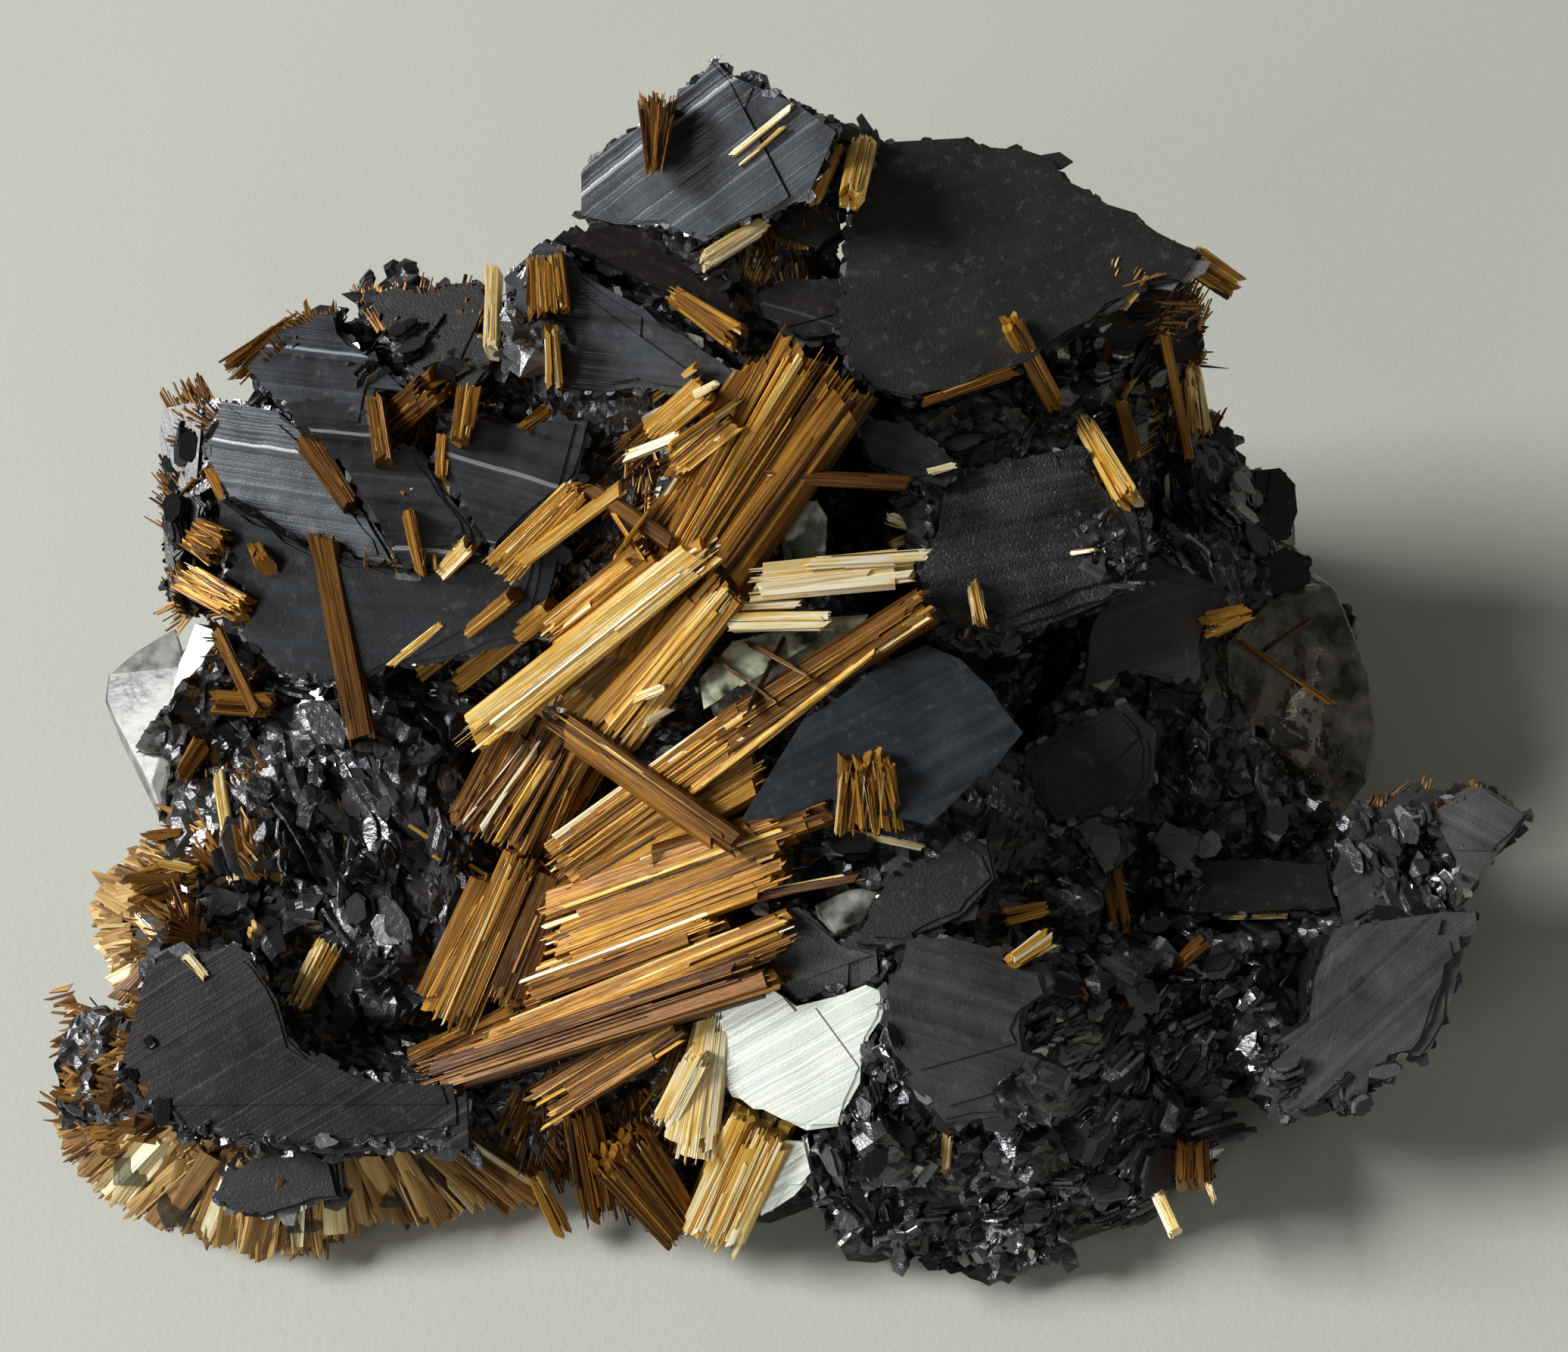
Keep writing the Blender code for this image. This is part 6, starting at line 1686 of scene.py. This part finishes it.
BARS: list[Sheaf] = [bar(*row) for row in (
    # Painted highlight: these first two pale strips on the top blade stand in for the glint along its groove.
    ((48.3, 10.3), (52.4, 7), 0.4, W),
    ((48.9, 10.9), (51.8, 8.4), 0.16, W),
    ((25.8, 44), (29.2, 41.2), 0.6, ST),
    ((73, 22.6), (72.4, 25.8), 0.9, B),
    ((29.2, 28.8), (29.1, 31.6), 0.8, G),
    ((63.4, 43.6), (65.4, 45.8), 0.5, G),
    ((66.5, 47), (68.8, 45.3), 0.5, G),
    ((71.3, 65.2), (73, 67.8), 0.5, G),
    ((75.2, 64.8), (73.4, 67.8), 0.5, G),
    ((62.6, 74.9), (62.4, 77.2), 0.8, ST),
    ((77.1, 31.3), (77.2, 33.2), 0.35, W),
    ((71.3, 33.9), (73.9, 33.6), 0.35, W),
    ((70.3, 36.6), (72.4, 36.3), 0.35, W),
    ((61.3, 31.2), (63.1, 30.8), 0.4, W),
    ((81, 60.6), (85, 60.5), 0.5, W),
    ((8.7, 60.2), (10.4, 62.1), 0.7, W),
    ((12.3, 63.2), (13.6, 64.6), 0.6, W),
    ((55.3, 54.8), (61, 56), 0.5, W),
    ((79.8, 78.2), (80.2, 79.4), 0.4, W),
    ((76.8, 21.7), (74, 26.5), 0.5, ST),
    ((9.6, 55.3), (12, 55), 0.6, G),
    ((10.5, 57), (12.8, 57.5), 0.6, ST),
    ((8.2, 58), (12, 58), 0.6, G),
    ((14.3, 41.5), (17, 47.2), 0.8, B),
    ((16.6, 61.3), (19.2, 63.2), 1, ST),
    ((22.2, 53.2), (23.4, 55.8), 0.8, W),
    ((34.5, 28.4), (36.2, 27), 0.8, G),
    ((27, 54.5), (32.3, 58), 0.3, ST),
    ((28.5, 56.3), (31.7, 59.2), 0.3, G),
    ((36.5, 70.5), (34, 75.5), 0.5, G),
    ((54.8, 33.5), (58.6, 36.4), 0.35, G),
    ((58.6, 34.2), (60.7, 35), 0.8, W),
    ((58.8, 36), (60.4, 35.4), 0.6, W),
    ((42, 46.2), (44, 45.4), 0.6, W),
    ((42.6, 47.8), (44.2, 46.9), 0.6, W),
    ((81.5, 42), (88, 46.5), 0.2, G),
    ((83.5, 43), (86.5, 41), 0.2, D),
    ((46.8, 43.2), (51.5, 46.6), 0.18, D),
    ((49.2, 42.4), (53.6, 44.8), 0.16, D),
    ((51.8, 42.2), (49.4, 47), 0.16, D),
    ((40.6, 34), (42.6, 37.2), 0.25, G),
    ((42.8, 33.8), (40.6, 36.8), 0.25, ST),
    ((42.6, 26.8), (46, 24.2), 0.5, ST),
    ((42, 28), (47.4, 25.4), 0.4, W),
    ((44.2, 29.6), (48.8, 26.4), 0.7, BR),
)]


class Solids:
    """Solids of the frame, searched as one."""

    def __init__(self, kinds: set[str]) -> None:
        """Read every node with one of these finishes.

        Args:
            kinds: Names of the finishes.
        """
        slots = {part["node"]: part["material_slot"] for part in frame["record"]["subparts"]}
        self.names = sorted(name for name, slot_name in slots.items() if slot_name in kinds)
        points: list[Vector] = []
        polygons: list[tuple[int, ...]] = []
        self.owners: list[str] = []
        self.trees: dict[str, BVHTree] = {}
        for name in self.names:
            solid = frame["nodes"][name]
            own = [(solid.matrix_world @ vert.co) / MM for vert in solid.data.vertices]
            own_faces = [tuple(face.vertices) for face in solid.data.polygons]
            self.trees[name] = BVHTree.FromPolygons(own, own_faces)
            start = len(points)
            points += own
            polygons += [tuple(corner + start for corner in face) for face in own_faces]
            self.owners += [name] * len(own_faces)
        self.tree = BVHTree.FromPolygons(points, polygons)

    def hit(self, right: float, down: float) -> Optional[Vector]:
        """Where the line through a spot on the sheet first meets one of them, or None."""
        place, _, _, _ = self.tree.ray_cast(EYE, sight(right, down).normalized())
        return place

    def nearest(self, place: Vector) -> str:
        """The node whose surface is nearest to a place, a fringe left out."""
        reach = {
            name: tree.find_nearest(place)[3] for name, tree in self.trees.items() if name not in FRINGES
        }
        return min(reach, key=reach.__getitem__)


@dataclass
class Rutile:
    """All sheaves and tufts."""

    rock: Rock
    solids: Solids
    chance: random.Random = field(default_factory=lambda: random.Random(SEED + 1))

    def build(self) -> None:
        """Make one piece of needles for each rutile solid."""
        finish = RutileFinish().material("rutile")
        makers: dict[str, MeshMaker] = {}
        for sheaf in SHEAVES:
            start, end = sheaf.ends(self.rock, self.solids)
            owner = sheaf.name if sheaf.name in self.solids.names else self.solids.nearest((start + end) / 2)
            maker = makers.setdefault(owner, MeshMaker())
            sheaf.needles(maker, start, end, self.chance)
        for name, maker in makers.items():
            made = maker.build("needles_" + name, finish)
            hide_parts(name)
            LOG.info("needles of %s: %d faces", name, len(maker.faces))
        everything = Solids({"hematite", "rutile", "quartz"})
        for title, group in (("filling_strands", STRANDS), ("thin_bars", BARS)):
            maker = MeshMaker()
            for sheaf in group:
                sheaf.needles(maker, *sheaf.ends(self.rock, everything), self.chance)
            maker.build(title, finish)


@dataclass(frozen=True)
class Fringe:
    """Fibres that spread from a middle out to an outline."""

    middle: Pair
    outline: tuple[Pair, ...]
    inner: float
    heights: Pair
    count: int
    layers: float


FRINGES: dict[str, Fringe] = {
    "near_fringe": Fringe(
        (19.5, 66.0),
        ((3.2, 74.6), (5.0, 77.6), (6.6, 79.4), (8, 80.4), (10.5, 81.8), (12.7, 82), (14.2, 82.7),
         (16.8, 83.5), (18.5, 82.3), (20.6, 83.5), (22.8, 82), (25.5, 80.6), (28.8, 81.1), (32.5, 79.5),
         (36.6, 79.5)),
        0.42, (6.6, 1.5), 380, 2.4),
    "left_fringe": Fringe(
        (14.5, 61.0), ((9.6, 55.4), (8.2, 56.8), (6.1, 59.2), (6.4, 61.4), (7.2, 64), (8.4, 67.4)),
        0.5, (8.4, 5.4), 110, 1.4),
}


@dataclass
class FringeMaker:
    """Builds the fringes of fibres."""

    solids: Solids
    chance: random.Random = field(default_factory=lambda: random.Random(SEED + 2))

    def build(self) -> None:
        """Make one piece for each fringe."""
        finish = RutileFinish(0.2, (0.93, 0.97, 0.95)).material("rutile_fibres")
        for name, fringe in FRINGES.items():
            maker = MeshMaker()
            lengths = [math.dist(a, b) for a, b in zip(fringe.outline, fringe.outline[1:])]
            for _ in range(fringe.count):
                self.fan(maker, fringe, lengths)
            made = maker.build("fibres_" + name, finish)
            if name in self.solids.names:
                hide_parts(name)
            LOG.info("%s: %d faces", name, len(maker.faces))
        maker = MeshMaker()
        for right, down, height, long, wide in QUARTZ_CHIPS:
            place = spot(right, down, height)
            toward = (EYE - place).normalized()
            along = (Vector((1.0, 0.0, 0.0)) - toward * toward.x).normalized()
            maker.flake(place, along, toward.cross(along), (long, wide, 0.8), 0.5, self.chance)
        cloudy = QuartzFinish((0.5, 0.5, 0.48), (0.5, 0.5, 0.46), 90.0, 0.2, 0.6)
        maker.build("quartz_in_fringe", cloudy.material("quartz_chips"))

    def fan(self, maker: MeshMaker, fringe: Fringe, lengths: Sequence[float]) -> None:
        """Add one flat fan of fibres that end almost together.

        Args:
            maker: The mesh to add to.
            fringe: The fringe it belongs to.
            lengths: Lengths of the outline's stretches.
        """
        number = self.chance.choices(range(len(lengths)), weights=lengths)[0]
        share = self.chance.random()
        (ax, ay), (bx, by) = fringe.outline[number], fringe.outline[number + 1]
        tip = (ax + (bx - ax) * share, ay + (by - ay) * share)
        middle = (fringe.middle[0] + self.chance.gauss(0, 2.0), fringe.middle[1] + self.chance.gauss(0, 1.2))
        finish = self.chance.choice((1.0, 1.0, 0.97, 0.92, 0.86)) * self.chance.uniform(0.96, 1.0)
        drop = self.chance.random()
        cloud = noise.noise(Vector((tip[0] * 0.3, tip[1] * 0.3, 4.0)))
        tone = 0.66 + 0.3 * cloud + self.chance.gauss(0, 0.07)
        aside = (-(tip[1] - middle[1]), tip[0] - middle[0])
        span = math.hypot(*aside)
        fibres = self.chance.randint(2, 5)
        for fibre in range(fibres):
            place = (fibre / (fibres - 1) - 0.5) * fibres * 0.45 / span
            here = self.chance.uniform(0.93, 1.0) * finish
            begin = 1.0 - fringe.inner * self.chance.uniform(0.8, 1.1)
            ends = []
            for reach, spread in ((begin, 0.6), (here, 1.0)):
                ends.append(tuple(
                    mid + (end - mid) * reach + away * place * spread
                    for mid, end, away in zip(middle, tip, aside)
                ))
            tall = max(fringe.heights[0] - drop * fringe.layers, 0.8)
            low = max(fringe.heights[1] + (1.0 - drop) * 1.2, 0.35)
            self.fibre(maker, spot(*ends[0], tall), spot(*ends[1], low), tone + self.chance.gauss(0, 0.1))

    def fibre(self, maker: MeshMaker, start: Vector, end: Vector, tone: float) -> None:
        """Add one fibre.

        Args:
            maker: The mesh to add to.
            start: Its inner end.
            end: Its tip.
            tone: How light it is.
        """
        toward = (EYE - start).normalized()
        out = (toward + Vector([self.chance.gauss(0, 0.28) for _ in range(3)])).normalized()
        size = (self.chance.choice((0.2, 0.4, 0.8, 1.3)) * self.chance.uniform(0.8, 1.2), 0.12)
        maker.needle(start, end, out, size, (0.8, self.chance.uniform(0.45, 1.0)), tone, self.chance)


# Tufts.


@dataclass(frozen=True)
class Patch:
    """A patch of short needles on the sheet: its place, how many groups, their length, shade and run."""

    name: str
    middle: Pair
    half: Pair
    groups: int
    length: float
    light: float
    run: Pair
    rise: float = 0.35
    wide: float = 0.21


PATCHES: list[Patch] = [Patch(*row) for row in (
    ("left_edge", (12.6, 33), (1.8, 7), 34, 2, 0.5, (-0.5, -1)),
    ("left_rim", (14.2, 43), (3, 3.8), 26, 2, 0.55, (-1, 0.3)),
    ("left_top", (17.4, 22.6), (3.4, 1.8), 16, 2, 0.42, (-0.7, -1)),
    ("crown_rim", (26.5, 20.2), (5.5, 1.4), 18, 1.4, 0.4, (0.1, -1)),
    ("left_block", (28, 27.2), (4, 1.4), 16, 2.2, 0.45, (-0.15, 1)),
    ("left_band", (24.5, 34.5), (5, 3.5), 9, 2.2, 0.5, (0.4, 1)),
    ("right_rim", (77.4, 25), (2.2, 5), 36, 2.2, 0.55, (0.15, -1)),
    ("right_upper", (74.5, 21), (3.5, 1.8), 16, 2.4, 0.6, (0.6, -1)),
    ("corner", (7.4, 71), (2.8, 3.6), 44, 1.3, 0.5, (-1, 0.1), 0.3, 0.5),
    ("left_low_edge", (11, 58), (2.6, 4), 40, 1.9, 0.52, (-1, -0.2), 0.3, 0.4),
    ("tangle_gold", (16, 55), (2.2, 4), 14, 2, 0.5, (-0.2, -1), 0.3, 0.4),
    ("near_brown", (38, 75), (5, 3.5), 60, 3, 0.42, (0.1, 1)),
    ("beside_facet", (46, 70.5), (1.6, 5), 30, 2.6, 0.65, (-0.2, 1)),
    ("under_main", (45, 33), (4, 4.5), 50, 3, 0.4, (-0.8, 1)),
    ("under_fan", (35, 50.5), (4, 4.5), 80, 3, 0.38, (-0.6, 1)),
    ("between_sheaves", (41.5, 58.5), (6.5, 3.5), 80, 3.2, 0.46, (-1, 0.6)),
    ("far_corner", (94, 53.4), (3.4, 1.6), 12, 1.3, 0.36, (0.3, -1)),
    ("upper_hollow", (51.5, 17.2), (2.4, 2), 26, 1.6, 0.36, (-0.3, -1)),
)]


@dataclass
class Tufts:
    """Short needles that stand on the rock in small groups."""

    rock: Rock
    chance: random.Random = field(default_factory=lambda: random.Random(SEED + 3))

    def build(self) -> None:
        """Make one piece for each patch."""
        finish = RutileFinish(0.1).material("rutile_tufts")
        for patch in PATCHES:
            maker = MeshMaker()
            for _ in range(patch.groups):
                self.group(maker, patch)
            made = maker.build("tufts_" + patch.name, finish)
            LOG.info("tufts %s: %d faces", patch.name, len(maker.faces))

    def group(self, maker: MeshMaker, patch: Patch) -> None:
        """Add one group.

        Args:
            maker: The mesh to add to.
            patch: The patch it belongs to.
        """
        right = patch.middle[0] + patch.half[0] * self.chance.uniform(-1, 1)
        down = patch.middle[1] + patch.half[1] * self.chance.uniform(-1, 1)
        place, normal = self.rock.hit(right, down)
        if place is None or normal is None or self.rock.clean(place):
            return
        ahead = spot(right + patch.run[0] * AHEAD, down + patch.run[1] * AHEAD, place.z)
        run = (ahead - spot(right, down, place.z)).normalized()
        run = (run - normal * run.dot(normal)).normalized()
        side = normal.cross(run)
        turn = self.chance.gauss(0, 0.35)
        run = run * math.cos(turn) + side * math.sin(turn)
        side = normal.cross(run)
        rise = abs(self.chance.gauss(patch.rise, 0.15))
        tone = self.chance.gauss(patch.light, 0.1)
        count = self.chance.randint(5, 12)
        fan = self.chance.uniform(0.05, 0.35)
        for number in range(count):
            aside = number / (count - 1) - 0.5
            way = (run + normal * (rise + self.chance.gauss(0, 0.06)) + side * (aside * fan * 2)).normalized()
            start = place + side * (aside * count * patch.wide * 0.65) - normal * 0.25 - way * 0.3
            length = patch.length * self.chance.uniform(0.45, 1.1)
            out = (normal + Vector([self.chance.gauss(0, 0.4) for _ in range(3)])).normalized()
            size = (patch.wide * self.chance.uniform(0.6, 1.5), self.chance.uniform(0.07, 0.14))
            tips = (1.0, self.chance.choice((0.15, 0.4, 0.8)))
            shade = tone + self.chance.gauss(0, 0.1)
            maker.needle(start, start + way * length, out, size, tips, shade, self.chance)


# Quartz.


@dataclass
class Quartz:
    """The quartz pieces."""

    bevel: float = 0.25
    finishes: dict[str, QuartzFinish] = field(default_factory=lambda: {
        "right_smoky_quartz": QuartzFinish((0.8, 0.77, 0.68), (0.6, 0.56, 0.46), 60.0, 0.05, 0.4),
        "left_quartz": QuartzFinish((0.66, 0.66, 0.63), (0.6, 0.6, 0.56), 60.0, 0.3, 0.9),
        "upper_quartz": QuartzFinish((0.86, 0.9, 0.82), (0.75, 0.8, 0.68), 25.0, 0.2, 1.8),
        "lower_quartz": QuartzFinish((0.78, 0.8, 0.66), (0.65, 0.67, 0.5), 35.0, 0.16, 1.2),
        "pale_quartz": QuartzFinish((0.8, 0.8, 0.76), (0.7, 0.7, 0.6), 60.0, 0.1, 0.8),
    })

    def build(self) -> None:
        """Make one piece for each quartz solid."""
        for name, finish in self.finishes.items():
            solid = frame["nodes"][name]
            mesh = solid.data.copy()
            mesh.name = "crystal_" + name
            mesh.materials.clear()
            mesh.materials.append(finish.material(name))
            made = placed("crystal_" + name, mesh)
            made.matrix_world = solid.matrix_world.copy()
            shape = bmesh.new()
            shape.from_mesh(mesh)
            bmesh.ops.remove_doubles(shape, verts=shape.verts, dist=0.01 * MM)
            shape.to_mesh(mesh)
            shape.free()
            edges = made.modifiers.new("Edges", "BEVEL")
            edges.width = self.bevel * MM
            edges.segments = 3
            edges.limit_method = "ANGLE"
            edges.angle_limit = math.radians(SHARP_QUARTZ)
            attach(made, "root")
            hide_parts(name)
            LOG.info("%s", name)


# Studio.


@dataclass
class Studio:
    """Floor, light and camera."""

    floor_half: float = 3.0

    def build(self) -> None:
        """Set up everything that isn't the specimen."""
        self.floor()
        self.camera()
        self.lamp("window", (-1.0, -0.03, 0.72), (0.4, 0.4), 21.0, (0.98, 0.985, 1.0))
        self.lamp("front_window", (-0.32, -0.35, 0.24), (0.14, 0.14), 0.4, (0.96, 0.98, 1.0))
        world = bpy.data.worlds.new("room")
        world.use_nodes = True
        world.node_tree.nodes["Background"].inputs["Color"].default_value = (0.88, 0.86, 0.8, 1.0)
        world.node_tree.nodes["Background"].inputs["Strength"].default_value = 0.13
        bpy.context.scene.world = world
        bpy.context.scene.view_settings.view_transform = "Standard"

    def floor(self) -> None:
        """Lay the flat floor."""
        mesh = bpy.data.meshes.new("floor")
        half = self.floor_half
        corners = [(-half, -half, 0), (half, -half, 0), (half, half, 0), (-half, half, 0)]
        mesh.from_pydata(corners, [], [(0, 1, 2, 3)])
        mesh.materials.append(FloorFinish().material("floor"))
        placed("floor", mesh)

    def camera(self) -> None:
        """Stand the camera where the photo was taken."""
        lens = bpy.data.cameras.new("camera")
        lens.lens = LENS_MM
        lens.sensor_width = SENSOR_MM
        lens.clip_start = 0.005
        made = placed("camera", lens)
        made.location = EYE * MM
        made.rotation_euler = (math.pi / 2 - EYE_ELEVATION, 0.0, 0.0)
        bpy.context.scene.camera = made

    def lamp(
        self, name: str, place: Spot, size: Pair, power: float, colour: Colour
    ) -> None:
        """Hang one soft light that looks at the specimen.

        Args:
            name: Its name.
            place: Where it hangs, in metres.
            size: Its width and height in metres.
            power: Its power in watts.
            colour: Its colour.
        """
        light = bpy.data.lights.new(name, "AREA")
        light.shape = "RECTANGLE"
        light.size, light.size_y = size
        light.energy = power
        light.color = colour
        made = placed(name, light)
        made.location = place
        made.rotation_euler = (Vector(LIT_SPOT) - Vector(place)).to_track_quat("-Z", "Y").to_euler()


def main() -> None:
    """Build the specimen and the studio, and report each piece."""
    logging.basicConfig(level=logging.INFO, format="%(name)s: %(message)s")
    noise.seed_set(SEED)
    rock = Rock()
    rock.facets()
    rock.growth()
    rock.rims()
    rock.rubble()
    rock.outer_rubble()
    LOG.info("growth layers and rubble done")
    solids = Solids({"rutile"})
    Rutile(rock, solids).build()
    FringeMaker(solids).build()
    Tufts(rock).build()
    Quartz().build()
    Studio().build()


if __name__ == "__main__":
    main()
